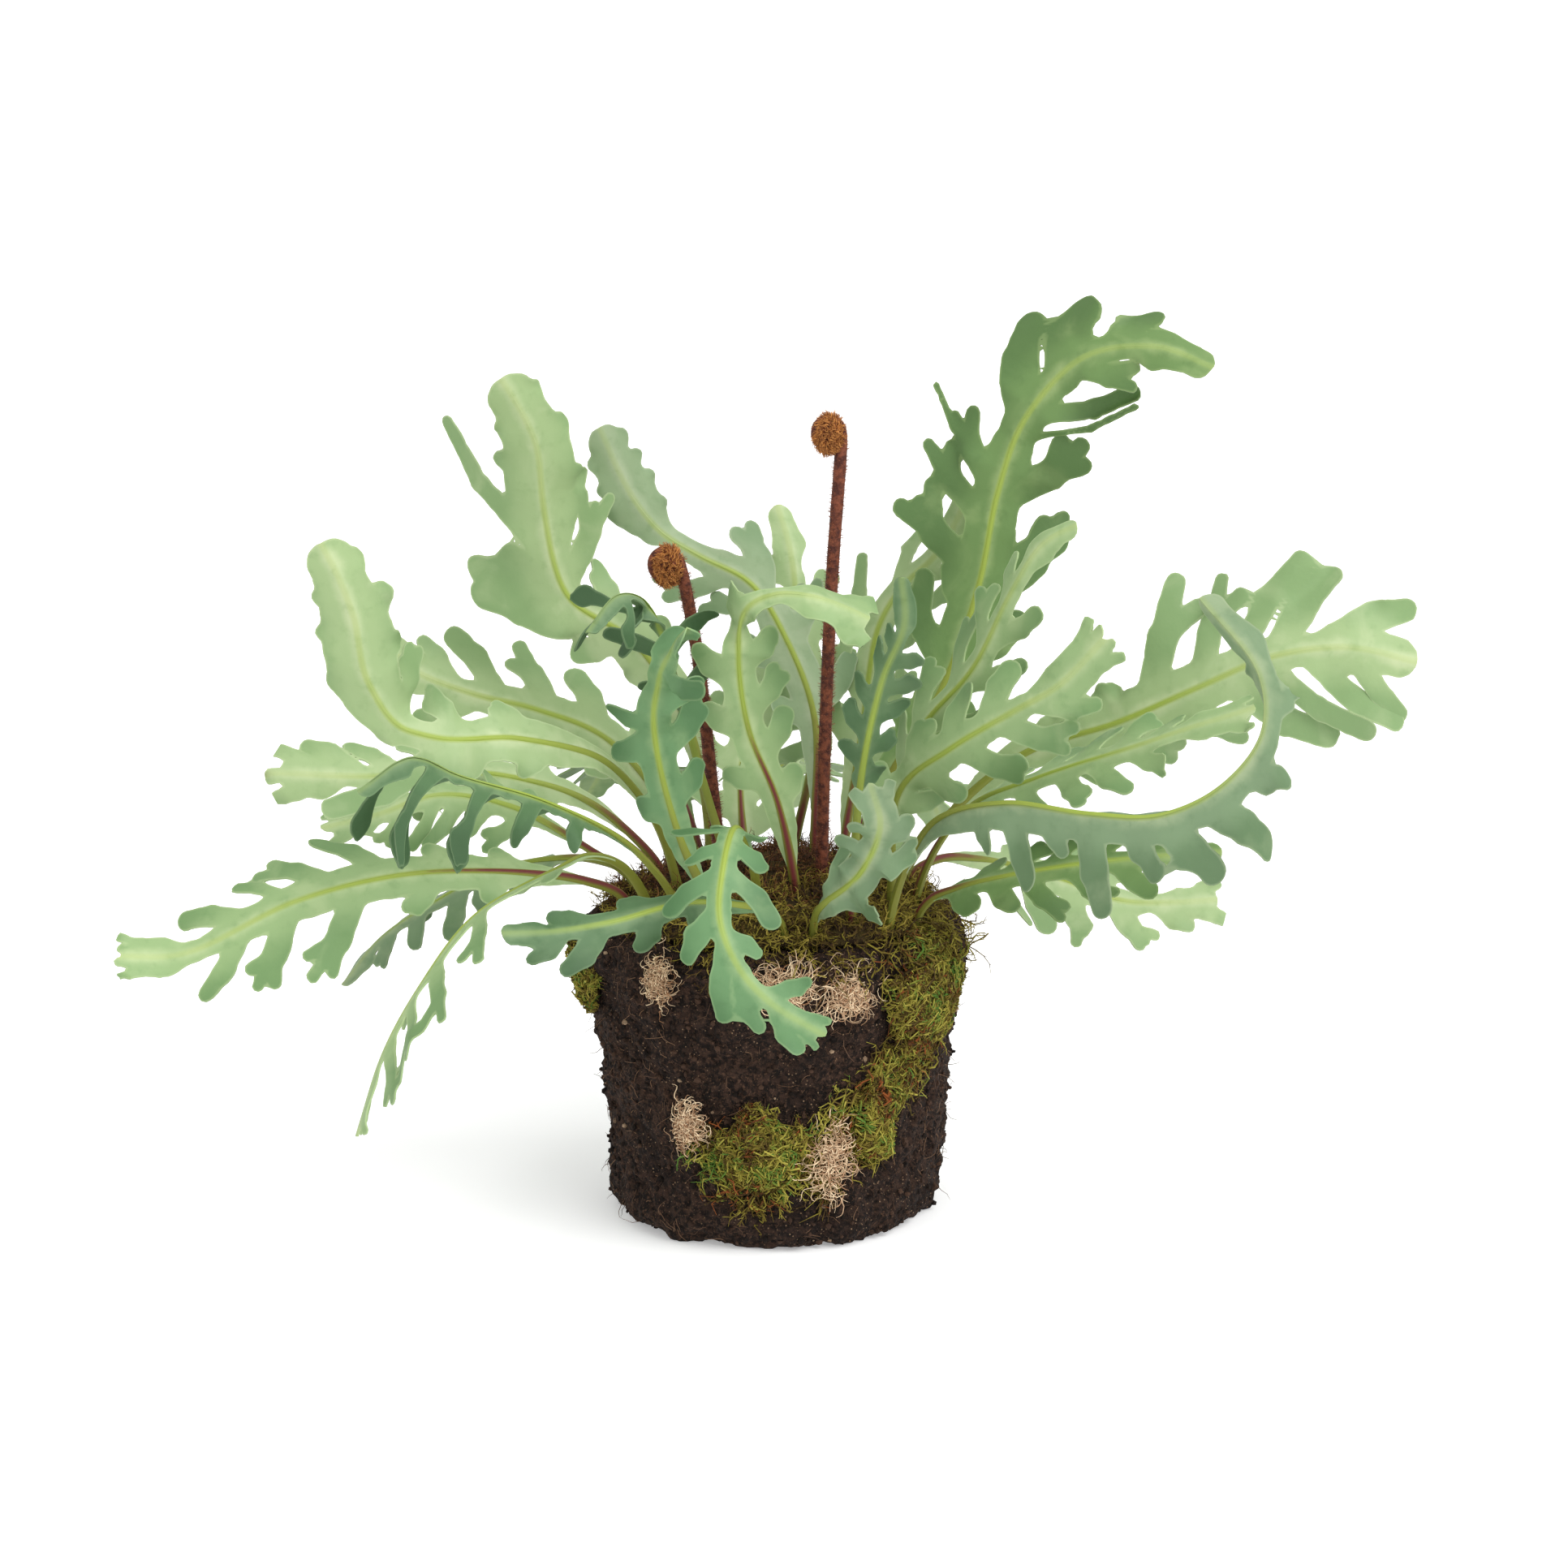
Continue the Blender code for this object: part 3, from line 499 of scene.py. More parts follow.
SIDE_MOSS = {
    "moss_drape_right_upper": (1100, 0.6),
    "moss_drape_right_lower": (550, 0.5),
    "moss_patch_front": (850, 0.1),
    "moss_rim_left": (400, 0.4),
}
for node, (count, down) in SIDE_MOSS.items():
    patch = copy_of(node, node + "_cushion")
    even_and_lumpy(patch, 1.0 * MM, ((6.0, 1.2), (2.5, 0.9)), sink=1.0)
    stand_for(patch, cushion_and_shade_finish, "moss", node)
    open_side = spots_on(patch, count, moss_random,
                         lambda p, n: n[0] * p[0] + n[1] * p[1] > 0.2 * math.hypot(p[0], p[1]))
    wisps = moss_wisps(node + "_wisps", open_side, moss_random, (7, 16), 0.3, down, 0.16,
                       over=patch, wobble=0.75)
    stand_for(wisps, side_moss, "moss")

# Thinner moss strays from the right of the rim down to the front and joins the patches there.
# bearing in degrees, height and half the width of the trail in millimetres, and how many
# millimetres of the side a degree takes up
MOSS_TRAIL = ((-32, 97, 15), (-35, 80, 13), (-40, 64, 12), (-48, 52, 13), (-60, 42, 14), (-78, 33, 15),
              (-96, 29, 14), (-112, 31, 10))
SIDE_OF_DEGREE = 0.96


def on_trail(place, normal):
    bearing = math.degrees(math.atan2(place[1], place[0]))
    near = 0.0
    for (b0, z0, w0), (b1, z1, w1) in zip(MOSS_TRAIL, MOSS_TRAIL[1:]):
        ax, az, bx, bz = b0 * SIDE_OF_DEGREE * MM, z0 * MM, b1 * SIDE_OF_DEGREE * MM, z1 * MM
        px, pz = bearing * SIDE_OF_DEGREE * MM, place[2]
        run, rise = bx - ax, bz - az
        share = min(max(((px - ax) * run + (pz - az) * rise) / (run ** 2 + rise ** 2), 0), 1)
        away = math.hypot(px - ax - share * run, pz - az - share * rise)
        near = max(near, 1 - away / ((w0 + (w1 - w0) * share) * MM))
    return near > max(0.03, 0.2 + 0.7 * noise.noise(Vector(place) / (8 * MM)))


trail = spots_on(root_ball, 3700, moss_random, on_trail)
for name, spots, length in (("upper", [s for s in trail if s[0][2] > 46 * MM], (8, 18)),
                            ("lower", [s for s in trail if s[0][2] <= 46 * MM], (6, 15))):
    wisps = moss_wisps("moss_trail_" + name, spots, moss_random, length, 0.29, 0.35, 0.1,
                       over=root_ball, wobble=0.75)
    stand_for(wisps, side_moss, "moss")

# ---------------------------------------------------------------- dry fibres
# Tangles of straw-coloured fibre caught in the soil. Each is a couple of hundred curly threads
# gathered into a tuft.

dry_fibre = finish_of_strands("dry fibre", (146, 102, 68), (236, 212, 176), 0.7, 0.35)
# how far each tuft's threads spread, sideways and upright, next to its solid
TUFT_SPREAD = {"fibre_tuft_rim_left": (0.95, 1.0), "fibre_tuft_rim_front": (1.0, 0.9),
               "fibre_tuft_rim_right": (1.05, 0.8), "fibre_tuft_low_left": (1.25, 0.95),
               "fibre_tuft_low_front": (1.7, 1.6)}
RIM_TUFT_LIFT = 4 * MM    # the rim tufts stand this much above their solids
THREADS = 190
fibre_random = np.random.default_rng(23)
for node, (wider, taller) in TUFT_SPREAD.items():
    low, high = (np.array(corner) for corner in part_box(node))
    heart, size = (low + high) / 2 + (0, 0, RIM_TUFT_LIFT * (low[2] > 60 * MM)), high - low
    outward = np.array((heart[0], heart[1], 0)) / math.hypot(heart[0], heart[1])
    sideways = np.cross((0, 0, 1), outward)
    half_wide, half_tall = 0.5 * max(size[0], 4 * MM) * wider, 0.5 * size[2] * taller
    fibre_paths = []
    for _ in range(THREADS):
        turn = fibre_random.uniform(0, 6.28)
        curl = fibre_random.choice((-1, 1)) * fibre_random.uniform(0.2, 1.0)
        at = fibre_random.normal(0, 0.4, 2)
        rise = fibre_random.uniform(0, 6.28)
        points = []
        for k in range(10):
            spot = heart + sideways * at[0] * half_wide + np.array((0, 0, 1)) * at[1] * half_tall
            depth = (1.9 - 0.9 * min(at @ at, 2.0) + 0.9 * math.sin(0.9 * k + rise)) * MM
            points.append(spot + outward * depth)
            turn += curl * fibre_random.uniform(0.1, 1.0) + fibre_random.normal(0, 0.3)
            at = at + np.array((math.cos(turn), math.sin(turn) * half_wide / half_tall)) * 0.14
        fibre_paths.append(points)
    tuft = make_strands(node + "_threads", fibre_paths, fibre_random.uniform(0.12, 0.24, THREADS) * MM,
                        fibre_random.random(THREADS))
    stand_for(tuft, dry_fibre, "dry_fibre", node)

# ---------------------------------------------------------------- fronds
# Soft leathery blades, cut into forward-swept fingers on both sides of a raised midrib that runs
# down into the stalk. Each blade is drawn flat, as lobes round its midrib, then bent along it.

LEAF_CELL = 1.25 * MM
LEAF_THICK = 0.5 * MM
WEB = 1.2 * MM            # how softly a lobe runs into the next
FLANGE = 0.5 * MM         # half the width of the green edge along the stalk
RUFFLE_WIDE, RUFFLE_HIGH = 3.4 * MM, 0.38 * MM

# finish; seed; red: how far up the red line on the midrib runs; droop: how far the lobes bend
# down, in radians; hang: how far they turn towards the ground; split: fingers a lobe, on average;
# wing: the uncut share of the width; lean: the angle between lobe and midrib; tips: fingers at
# the frond's end; scallop: wavy lobes along the end; end: half the width of the end in
# millimetres, or 0 for three quarters of the solid's; lobes: lobes set one by one on the left and
# right, as place along the blade, reach in millimetres, lean, half width in millimetres and
# fingers. A lobe without the last has one finger, and one with 0 is spoon-shaped.
FROND_LOOKS = {
    "frond_left_tall": dict(finish="pale", end=11.5, seed=11, scallop=4, lobes=dict(
        L=((0.1, 9, 42, 4), (0.22, 14, 42, 4.6), (0.35, 26, 42, 7.4, 2), (0.44, 15, 42, 5),
           (0.5, 27, 28, 3.2)),
        R=((0.12, 12, 42, 4), (0.26, 15, 40, 4.2, 2), (0.41, 20, 33, 4.6, 3), (0.52, 15, 30, 3)))),
    "frond_left_tongue": dict(finish="pale", end=11, seed=12, scallop=4, lobes=dict(
        L=((0.12, 11, 45, 4), (0.28, 13, 45, 4.4), (0.36, 30, 40, 4.6)),
        R=((0.16, 12, 45, 4, 2), (0.33, 14, 45, 4, 2), (0.49, 19, 45, 4.6, 3)))),
    "frond_left_back_pale": dict(finish="pale", end=7, seed=13, lobes=dict(
        R=((0.1, 14, 48, 4.2), (0.25, 17, 45, 4.2), (0.4, 18, 42, 4.2, 2), (0.55, 18, 36, 4.2),
           (0.7, 12, 34, 3.6)),
        L=((0.12, 12, 48, 4.2), (0.28, 16, 45, 4.4, 2), (0.45, 17, 42, 4.4), (0.62, 14, 36, 4)))),
    "frond_left_level": dict(finish="pale", end=8.5, seed=14, red=0.3, tips=3, lobes=dict(
        R=((0.14, 12, 46, 4), (0.3, 14, 42, 4), (0.45, 15, 42, 4, 2), (0.6, 13, 36, 3.4),
           (0.72, 12, 30, 4.4)),
        L=((0.1, 12, 46, 4), (0.26, 14, 45, 4, 2), (0.42, 14, 42, 4), (0.62, 12, 35, 4)))),
    "frond_left_under": dict(finish="fresh", seed=15, red=0.4, tips=3),
    "frond_left_front_droop": dict(finish="deep", end=5, seed=16, red=0.35, hang=0.9, wing=0.18, lobes=dict(
        R=((0.08, 9, 60, 3), (0.24, 14, 58, 3.4), (0.44, 27, 62, 4.8, 0), (0.64, 34, 66, 5, 0),
           (0.8, 32, 60, 4.6, 0)),
        L=((0.12, 10, 56, 3.2), (0.32, 14, 50, 3.6), (0.52, 20, 50, 4.8, 0), (0.7, 24, 46, 4.8, 0)))),
    "frond_left_long_low": dict(finish="fresh", end=7, seed=17, red=0.45, tips=4, lobes=dict(
        R=((0.05, 9, 50, 3.6), (0.19, 11, 48, 3.8), (0.34, 20, 42, 3.7), (0.47, 18, 40, 3.8, 2),
           (0.57, 15, 42, 2.2), (0.67, 13, 30, 3.8)),
        L=((0.08, 10, 50, 4), (0.24, 13, 48, 4, 2), (0.42, 26, 47, 4.6, 3), (0.58, 19, 40, 4.4, 3),
           (0.7, 15, 34, 3.7)))),
    "frond_left_hanging": dict(finish="fresh", end=4.5, seed=18, red=0.3, tips=3, lobes=dict(
        L=((0.08, 9, 40, 3), (0.33, 20, 38, 2.8, 2), (0.52, 22, 40, 3, 2), (0.63, 21, 38, 2.6, 2),
           (0.75, 16, 36, 2.8, 2)),
        R=((0.14, 8, 40, 3), (0.32, 7, 40, 2.6), (0.6, 8, 34, 2.6)))),
    "frond_left_back_low": dict(finish="dusk_painted_shade", seed=19, red=0.3, droop=0.4, hang=0.3),
    "frond_front_left_low": dict(finish="deep", end=5, seed=20, tips=1, lobes=dict(
        L=((0.16, 9, 55, 3.4), (0.36, 12, 46, 3.6), (0.58, 13, 36, 3.8), (0.74, 9, 32, 3.2)),
        R=((0.1, 7, 40, 3.4), (0.34, 7, 30, 3.6), (0.62, 6, 24, 3.4)))),
    "frond_front_left_upright": dict(finish="blue", end=7, seed=21, droop=0.3, lobes=dict(
        L=((0.14, 10, 50, 4), (0.42, 15, 112, 3.8), (0.46, 15, 70, 3.2), (0.72, 11, 60, 5)),
        R=((0.18, 14, 50, 4.2), (0.36, 17, 50, 4.8, 2), (0.52, 13, 45, 4), (0.64, 17, 48, 3.6)))),
    "frond_back_arched_left": dict(finish="grey", end=8.5, seed=22, red=0.3, scallop=4, lobes=dict(
        L=((0.1, 12, 46, 4), (0.24, 15, 44, 4, 2), (0.4, 15, 42, 3.4, 2), (0.5, 17, 36, 3.4, 2)),
        R=((0.13, 19, 50, 4.2), (0.28, 16, 42, 3.6, 2), (0.42, 15, 36, 4.4, 2)))),
    "frond_centre_upright": dict(finish="fresh", end=8, seed=23, red=0.45, tips=2, lobes=dict(
        L=((0.16, 12, 50, 4), (0.31, 13, 48, 4.2), (0.44, 14, 45, 4.2), (0.58, 10, 40, 4)),
        R=((0.1, 10, 48, 3.8), (0.22, 14, 46, 4), (0.35, 14, 45, 4, 2), (0.48, 12, 44, 3.8)))),
    "frond_back_right_upright": dict(finish="pale", end=4.5, seed=24, red=0.3, tips=2, lobes=dict(
        L=((0.16, 12, 36, 3.4), (0.3, 13, 32, 3.2, 2), (0.45, 15, 28, 2.6), (0.62, 11, 26, 2.4)),
        R=((0.12, 12, 38, 3.4), (0.26, 13, 36, 3.2, 2), (0.4, 14, 32, 3), (0.54, 15, 30, 2.6, 2),
           (0.68, 11, 26, 2.4)))),
    "frond_back_centre_short": dict(finish="pale", seed=25, red=0.6, tips=3),
    "frond_centre_left_nodding": dict(finish="deep", end=4, seed=26, red=0.3, hang=0.35, lobes=dict(
        L=((0.12, 12, 50, 3), (0.32, 17, 52, 3.2), (0.52, 18, 50, 3.2, 0), (0.72, 14, 45, 3.2, 0)),
        R=((0.1, 12, 50, 3), (0.3, 18, 52, 3.2), (0.5, 20, 50, 3.4, 0), (0.7, 16, 45, 3.2, 0)))),
    "frond_back_centre_high": dict(finish="pale", seed=27, red=0.3),
    "frond_right_tallest": dict(finish="moss_green", end=8, seed=28, tips=1, wing=0.34, lobes=dict(
        L=((0.08, 10, 45, 4), (0.2, 23, 42, 5, 2), (0.29, 12, 34, 3.6), (0.36, 27, 46, 5.4, 3),
           (0.45, 24, 46, 4, 2), (0.51, 20, 42, 4, 2), (0.54, 32, 58, 1.1), (0.64, 24, 42, 6.6),
           (0.735, 18, 44, 7), (0.82, 14, 40, 4.8)),
        R=((0.1, 12, 40, 4.4), (0.22, 17, 38, 5.4), (0.34, 24, 40, 7.6, 3), (0.49, 22, 38, 5.6, 3),
           (0.585, 26, 34, 1.2), (0.635, 21, 33, 3.4), (0.74, 11, 24, 4, 2)))),
    "frond_right_narrow": dict(finish="fresh", end=5, seed=29, red=0.2, lean=34, stretch=1.2),
    "frond_right_mid": dict(finish="fresh", end=7.5, seed=30, tips=4, lobes=dict(
        L=((0.14, 12, 48, 4), (0.28, 13, 45, 4.2, 2), (0.42, 15, 42, 4.6), (0.56, 14, 38, 4.6)),
        R=((0.15, 13, 50, 4), (0.3, 15, 50, 4.2), (0.45, 18, 45, 4.6, 2), (0.59, 17, 38, 4.4, 2),
           (0.72, 12, 32, 3.4)))),
    "frond_right_far": dict(finish="pale", end=9, seed=31, tips=1, lobes=dict(
        L=((0.08, 9, 50, 4), (0.21, 13, 50, 5, 2), (0.36, 32, 50, 5.6, 2), (0.49, 27, 48, 4.4, 2),
           (0.58, 28, 40, 3.8), (0.68, 25, 45, 5.2), (0.8, 17, 33, 5.2)),
        R=((0.12, 14, 45, 4.6, 2), (0.27, 17, 45, 4.8, 2), (0.42, 19, 45, 5, 2), (0.55, 33, 52, 5.2),
           (0.64, 30, 44, 4), (0.735, 25, 38, 4.4), (0.83, 17, 32, 4)))),
    "frond_right_level": dict(finish="fresh", seed=32, red=0.3, tips=3, stretch=1.1),
    "frond_right_curling": dict(finish="dusk_painted_shade", end=7, seed=33, droop=0.15, hang=0.6, wing=0.5, lobes=dict(
        R=((0.12, 15, 70, 3.4), (0.2, 25, 68, 5), (0.29, 15, 68, 3.6), (0.36, 31, 72, 5),
           (0.44, 19, 66, 4), (0.5, 24, 62, 5), (0.57, 23, 54, 4.8), (0.65, 13, 50, 4),
           (0.76, 9, 44, 2.8)),
        L=((0.15, 14, 60, 4.4), (0.3, 16, 60, 4.8), (0.45, 14, 50, 5.6), (0.56, 13, 42, 5.6),
           (0.68, 10, 36, 4.6), (0.8, 8, 34, 3.6)))),
    "frond_right_low_front": dict(finish="moss_green", seed=34, red=0.3, stretch=1.1),
    "frond_right_back_low": dict(finish="pale", end=6, seed=35, red=0.3, tips=2, lobes=dict(
        R=((0.05, 20, 50, 2.4), (0.2, 20, 60, 4.2), (0.38, 17, 52, 4.6, 3), (0.57, 15, 42, 4.2, 3),
           (0.74, 9, 34, 3.2)),
        L=((0.12, 12, 50, 4), (0.3, 14, 46, 4, 2), (0.48, 15, 40, 3.6, 2), (0.64, 18, 34, 1.8)))),
    "frond_front_right_short": dict(finish="dusk_painted_shade", end=6, seed=36, tips=3, lobes=dict(
        L=((0.12, 16, 58, 3), (0.36, 10, 46, 3.4, 2), (0.56, 9, 42, 3)),
        R=((0.16, 18, 52, 3.8, 2), (0.4, 13, 46, 3.4, 2), (0.6, 10, 42, 3)))),
    "frond_right_dark_short": dict(finish="deep", seed=37, red=0.2),
    "frond_front_drooping": dict(finish="blue", end=4, seed=38, red=0.22, tips=3, wing=0.22, lobes=dict(
        R=((0.02, 9, 60, 3.4), (0.16, 18, 62, 4), (0.29, 12, 55, 2.8), (0.4, 16, 48, 3.5),
           (0.52, 14, 48, 3.6), (0.61, 12, 30, 3.2), (0.7, 8, 24, 3), (0.84, 8, 30, 2.8)),
        L=((0.04, 9, 50, 3.4), (0.26, 13, 52, 3.6), (0.38, 18, 48, 3.5), (0.58, 8, 34, 3),
           (0.8, 11, 52, 3, 2)))),
    "frond_rear_right": dict(finish="fresh", seed=39, red=0.35, stretch=1.15),
    "frond_rear_middle": dict(finish="pale", seed=40, red=0.35, stretch=1.15),
    "frond_rear_left": dict(finish="moss_green", seed=41, red=0.35, stretch=1.15),
}

# Blade colours: beside the midrib, between, and at the far edges. The pale one beside the
# midrib is partly the leaf's own pale centre and partly painted light, the lit side of the
# groove along the midrib.
FROND_COLORS = {
    "pale": ((198, 211, 164), (162, 186, 132), (124, 156, 102)),
    "fresh": ((190, 207, 154), (150, 178, 122), (106, 142, 88)),
    "grey": ((186, 198, 164), (150, 172, 132), (110, 140, 96)),
    "blue": ((154, 182, 128), (106, 146, 98), (72, 112, 68)),
    # dusk: the blade green darkened as painted shade, for fronds that hang or lie low under others.
    "dusk_painted_shade": ((172, 187, 146), (124, 150, 112), (90, 120, 80)),
    "moss_green": ((158, 180, 118), (110, 142, 82), (82, 114, 62)),
    # deep: the blade green darkened further as painted shade, for drooping fronds and one that lies in the
    # shadow of others.
    "deep": ((126, 152, 108), (84, 117, 76), (58, 90, 54)),
}


def rings_of(node):
    """The stations of a frond's solid from its planted foot on: at each, the two corners of the
    rib and the two of the edges. The last is the tip."""
    bm = bmesh.new()
    bm.from_mesh(frame["nodes"][node].data)
    bmesh.ops.remove_doubles(bm, verts=bm.verts, dist=0.01 * MM)
    heart = Vector((0, 0, 50 * MM))
    rings = [sorted(bm.verts, key=lambda v: (v.co - heart).length)[:4]]
    seen = set(rings[0])
    while True:
        ahead = {e.other_vert(v) for v in rings[-1] for e in v.link_edges} - seen
        if not ahead:
            break
        rings.append(sorted(ahead, key=lambda v: v.index))
        seen |= ahead
    places = []
    for ring in rings[:-1]:
        beside = {e.other_vert(ring[0]) for e in ring[0].link_edges}
        opposite = [v for v in ring[1:] if v not in beside] or ring[1:2]
        first = (ring[0].co.copy(), opposite[0].co.copy())
        second = tuple(v.co.copy() for v in ring if v is not ring[0] and v is not opposite[0])
        places.append(sorted((first, second), key=lambda pair: (pair[0] - pair[1]).length))
    places.append(rings[-1][0].co.copy())
    bm.free()
    return places


class Rib:
    """A frond's midrib as its solid has it: where it runs, which way the upper face looks, and
    how far the lobes reach and fall on each side."""

    def __init__(self, node):
        rings = rings_of(node)
        tip = rings.pop()
        self.lobes = (len(rings) - 7) // 4
        self.centres, self.normals, self.edges = [], [], []
        for (top, under), edges in rings:
            self.centres.append((top + under) / 2)
            self.normals.append((top - under).normalized())
            self.edges.append(edges)
        for k in (2, 1, 0):
            self.centres[k] = sum(itertools.chain(*rings[k]), Vector()) / 4
            self.normals[k] = self.normals[k + 1]
        for k in range(len(rings) - 2, -1, -1):
            if self.normals[k].dot(self.normals[k + 1]) < 0:
                self.normals[k] = -self.normals[k]
        if sum((n for n in self.normals), Vector()).dot(Vector((0, -0.5, 1))) < 0:
            self.normals = [-n for n in self.normals]
        self.points = [*self.centres, tip]
        self.normals.append(self.normals[-1])
        self.along = [0.0]
        for a, b in zip(self.points, self.points[1:]):
            self.along.append(self.along[-1] + (b - a).length)
        self.length = self.along[-1]
        self.start, self.tongue = self.along[3], self.along[3 + 4 * self.lobes]
        self.samples = np.linspace(0, self.length * 1.3, 200)
        read = [self.at(s) for s in self.samples]
        self.frames = [np.array([r[k] for r in read]) for k in range(4)]
        peaks = [(3 + 4 * i + 2 * m, 1 if m == 0 else -1) for i in range(self.lobes) for m in (0, 1)]
        self.peak_s = [self.along[k] for k, _ in peaks]
        shapes = [self.arm(k, side) for k, side in peaks]
        self.peak_reach = [math.hypot(a, n) for a, n in shapes]
        self.peak_fall = [math.atan2(-n, a) for a, n in shapes]
        self.tongue_half = self.arm(3 + 4 * self.lobes + 1, 1)[0]

    def at(self, s):
        """Place, direction, upper-face normal and right-hand side at a distance from the foot."""
        last = len(self.points) - 1
        k = 0
        while k < last - 1 and self.along[k + 1] < s:
            k += 1
        p1, p2 = self.points[k], self.points[k + 1]
        p0 = self.points[k - 1] if k else p1 * 2 - p2
        p3 = self.points[k + 2] if k + 2 <= last else p2 * 2 - p1
        span = self.along[k + 1] - self.along[k]
        t = (s - self.along[k]) / span
        before, after = (p1 - p0).length, (p3 - p2).length
        m1 = ((p2 - p1) / span * before + (p1 - p0) / before * span) / (before + span) * span
        m2 = ((p3 - p2) / after * span + (p2 - p1) / span * after) / (after + span) * span
        if t > 1.0:
            place, direction = p2 + m2 * (t - 1), m2.normalized()
        else:
            place = (p1 * (2 * t**3 - 3 * t**2 + 1) + m1 * (t**3 - 2 * t**2 + t)
                     + p2 * (3 * t**2 - 2 * t**3) + m2 * (t**3 - t**2))
            direction = (p1 * (6 * t**2 - 6 * t) + m1 * (3 * t**2 - 4 * t + 1)
                         + p2 * (6 * t - 6 * t**2) + m2 * (3 * t**2 - 2 * t)).normalized()
        normal = self.normals[k].lerp(self.normals[k + 1], min(max(t, 0.0), 1.0))
        normal = (normal - direction * normal.dot(direction)).normalized()
        return place, direction, normal, direction.cross(normal)

    def arm(self, k, side):
        """How far the left (-1) or right (1) corner of station k lies to the side, and up."""
        _, _, normal, across = self.at(self.along[k])
        a, b = (corner - self.centres[k] for corner in self.edges[k])
        arm = a if a.dot(across) * side > 0 else b
        return abs(arm.dot(across)), arm.dot(normal)

    def read(self, s):
        """The same four at many distances at once."""
        return [np.stack([np.interp(s, self.samples, f[:, axis]) for axis in range(3)], -1)
                for f in self.frames]


def smooth(x):
    x = np.clip(x, 0.0, 1.0)
    return x * x * (3 - 2 * x)


def unit(vectors):
    return vectors / (np.linalg.norm(vectors, axis=-1, keepdims=True) + 1e-12)


def to_rod(points, start, end, start_radius, end_radius):
    """How far points lie outside a rod that tapers from start to end."""
    reach = end - start
    share = np.clip((points - start) @ reach / (reach @ reach), 0, 1)
    away = np.linalg.norm(points - start - share[:, None] * reach, axis=1)
    return away - (start_radius + (end_radius - start_radius) * share)


def soft_union(a, b, softness):
    overlap = np.maximum(softness - np.abs(a - b), 0) / softness
    return np.minimum(a, b) - overlap * overlap * softness / 4


def flat_way(degrees, side):
    return np.array((math.cos(math.radians(degrees)), side * math.sin(math.radians(degrees))))


class Lobe:
    """One lobe of a flat blade: it leaves the midrib, sweeps forward and ends in fingers."""

    def __init__(self, side, root, reach, lean, half, fingers, look, rng):
        self.side, self.half = side, half
        self.root = np.array((root, 0.0))
        self.length = max(reach / math.sin(math.radians(lean)) - 0.5 * half, 3 * MM)
        self.axis = flat_way(lean, side)
        self.beside = np.array((-self.axis[1], self.axis[0]))
        neck = self.root + flat_way(lean + 8, side) * self.length * 0.6
        self.rods = [(self.root, neck, half * 0.88, half * 0.9)]
        if fingers == 0:
            end = self.root + self.axis * self.length * 0.95
            self.rods = [(self.root, neck, half * 0.6, half * 0.42), (neck, end, half * 0.42, half),
                         (end, end + self.axis * half, half, half * 0.3)]
        elif fingers == 1:
            end = neck + flat_way(lean - 8, side) * (self.length * 0.4 - 0.4 * half)
            self.rods.append((neck, end, half * 0.9, half * rng.uniform(0.66, 0.95)))
        else:
            spread = rng.uniform(16, 23) if fingers == 2 else rng.uniform(24, 32)
            turns = (-spread, spread * 0.8) if fingers == 2 else (-spread, 0, spread)
            long = rng.integers(len(turns))
            for k, turn in enumerate(turns):
                share = rng.uniform(0.95, 1.05) if k == long else rng.uniform(0.62, 0.88)
                width = half * (0.72 if fingers == 2 else 0.58)
                end = neck + flat_way(lean - 8 + turn, side) * self.length * 0.42 * share
                self.rods.append((neck, end, width, width * rng.uniform(0.7, 0.95)))
        self.droop = look["droop"] * rng.uniform(0.3, 1.7) + rng.uniform(-0.14, 0.14)
        self.hang = look["hang"] * rng.uniform(0.6, 1.2)
        self.twist = rng.uniform(-0.55, 0.55)

    def distance(self, flat):
        return np.min([to_rod(flat, *rod) for rod in self.rods], axis=0)

    def set_off(self, blade):
        """Where the lobe leaves the uncut blade, and the line that it then follows in space."""
        wing = blade.wing(self.root[0] + 0.7 * self.half)
        self.inner = min(wing / abs(self.axis[1]), self.length * 0.8)
        edge = self.root + self.axis * self.inner
        around = np.array([edge, edge + self.axis * MM, edge - self.axis * MM,
                           edge + self.beside * MM, edge - self.beside * MM])
        base, ahead, behind, left, right = blade.sheet(around)
        ahead, beside = unit(ahead - behind), unit(left - right)
        upward = unit(np.cross(ahead, beside))
        if upward @ blade.rib.read(edge[:1])[2][0] < 0:
            upward = -upward
        self.outer = max(self.length - self.inner, 2 * MM)
        self.q = np.linspace(0, self.outer * 1.6, 24)
        points, ways = [base], [ahead]
        for q in self.q[1:]:
            share = q / self.outer
            turn = min(1.0, self.hang * smooth(share))
            bent = ahead * (1 - turn) + np.array((0, 0, -1.0)) * turn - upward * self.droop * share
            ways.append(unit(bent))
            points.append(points[-1] + ways[-1] * (self.q[1] - self.q[0]))
        self.line, self.ways, self.across, self.up = np.array(points), np.array(ways), beside, upward

    def lay(self, flat):
        """Where the lobe puts points of the flat blade, and how far out they are on it."""
        along = (flat - self.root) @ self.axis - self.inner
        aside = (flat - self.root) @ self.beside
        centre = np.stack([np.interp(along, self.q, self.line[:, k]) for k in range(3)], -1)
        centre += np.minimum(along, 0)[:, None] * self.ways[0]
        way = np.stack([np.interp(along, self.q, self.ways[:, k]) for k in range(3)], -1)
        turn = self.twist * np.clip(along / self.outer, 0, 1.2)[:, None]
        up = unit(np.cross(way, self.across))
        up = np.where((up @ self.up)[:, None] < 0, -up, up)
        across = self.across * np.cos(turn) + up * np.sin(turn)
        return centre + across * aside[:, None], smooth(along / (0.5 * self.outer)), along / self.outer


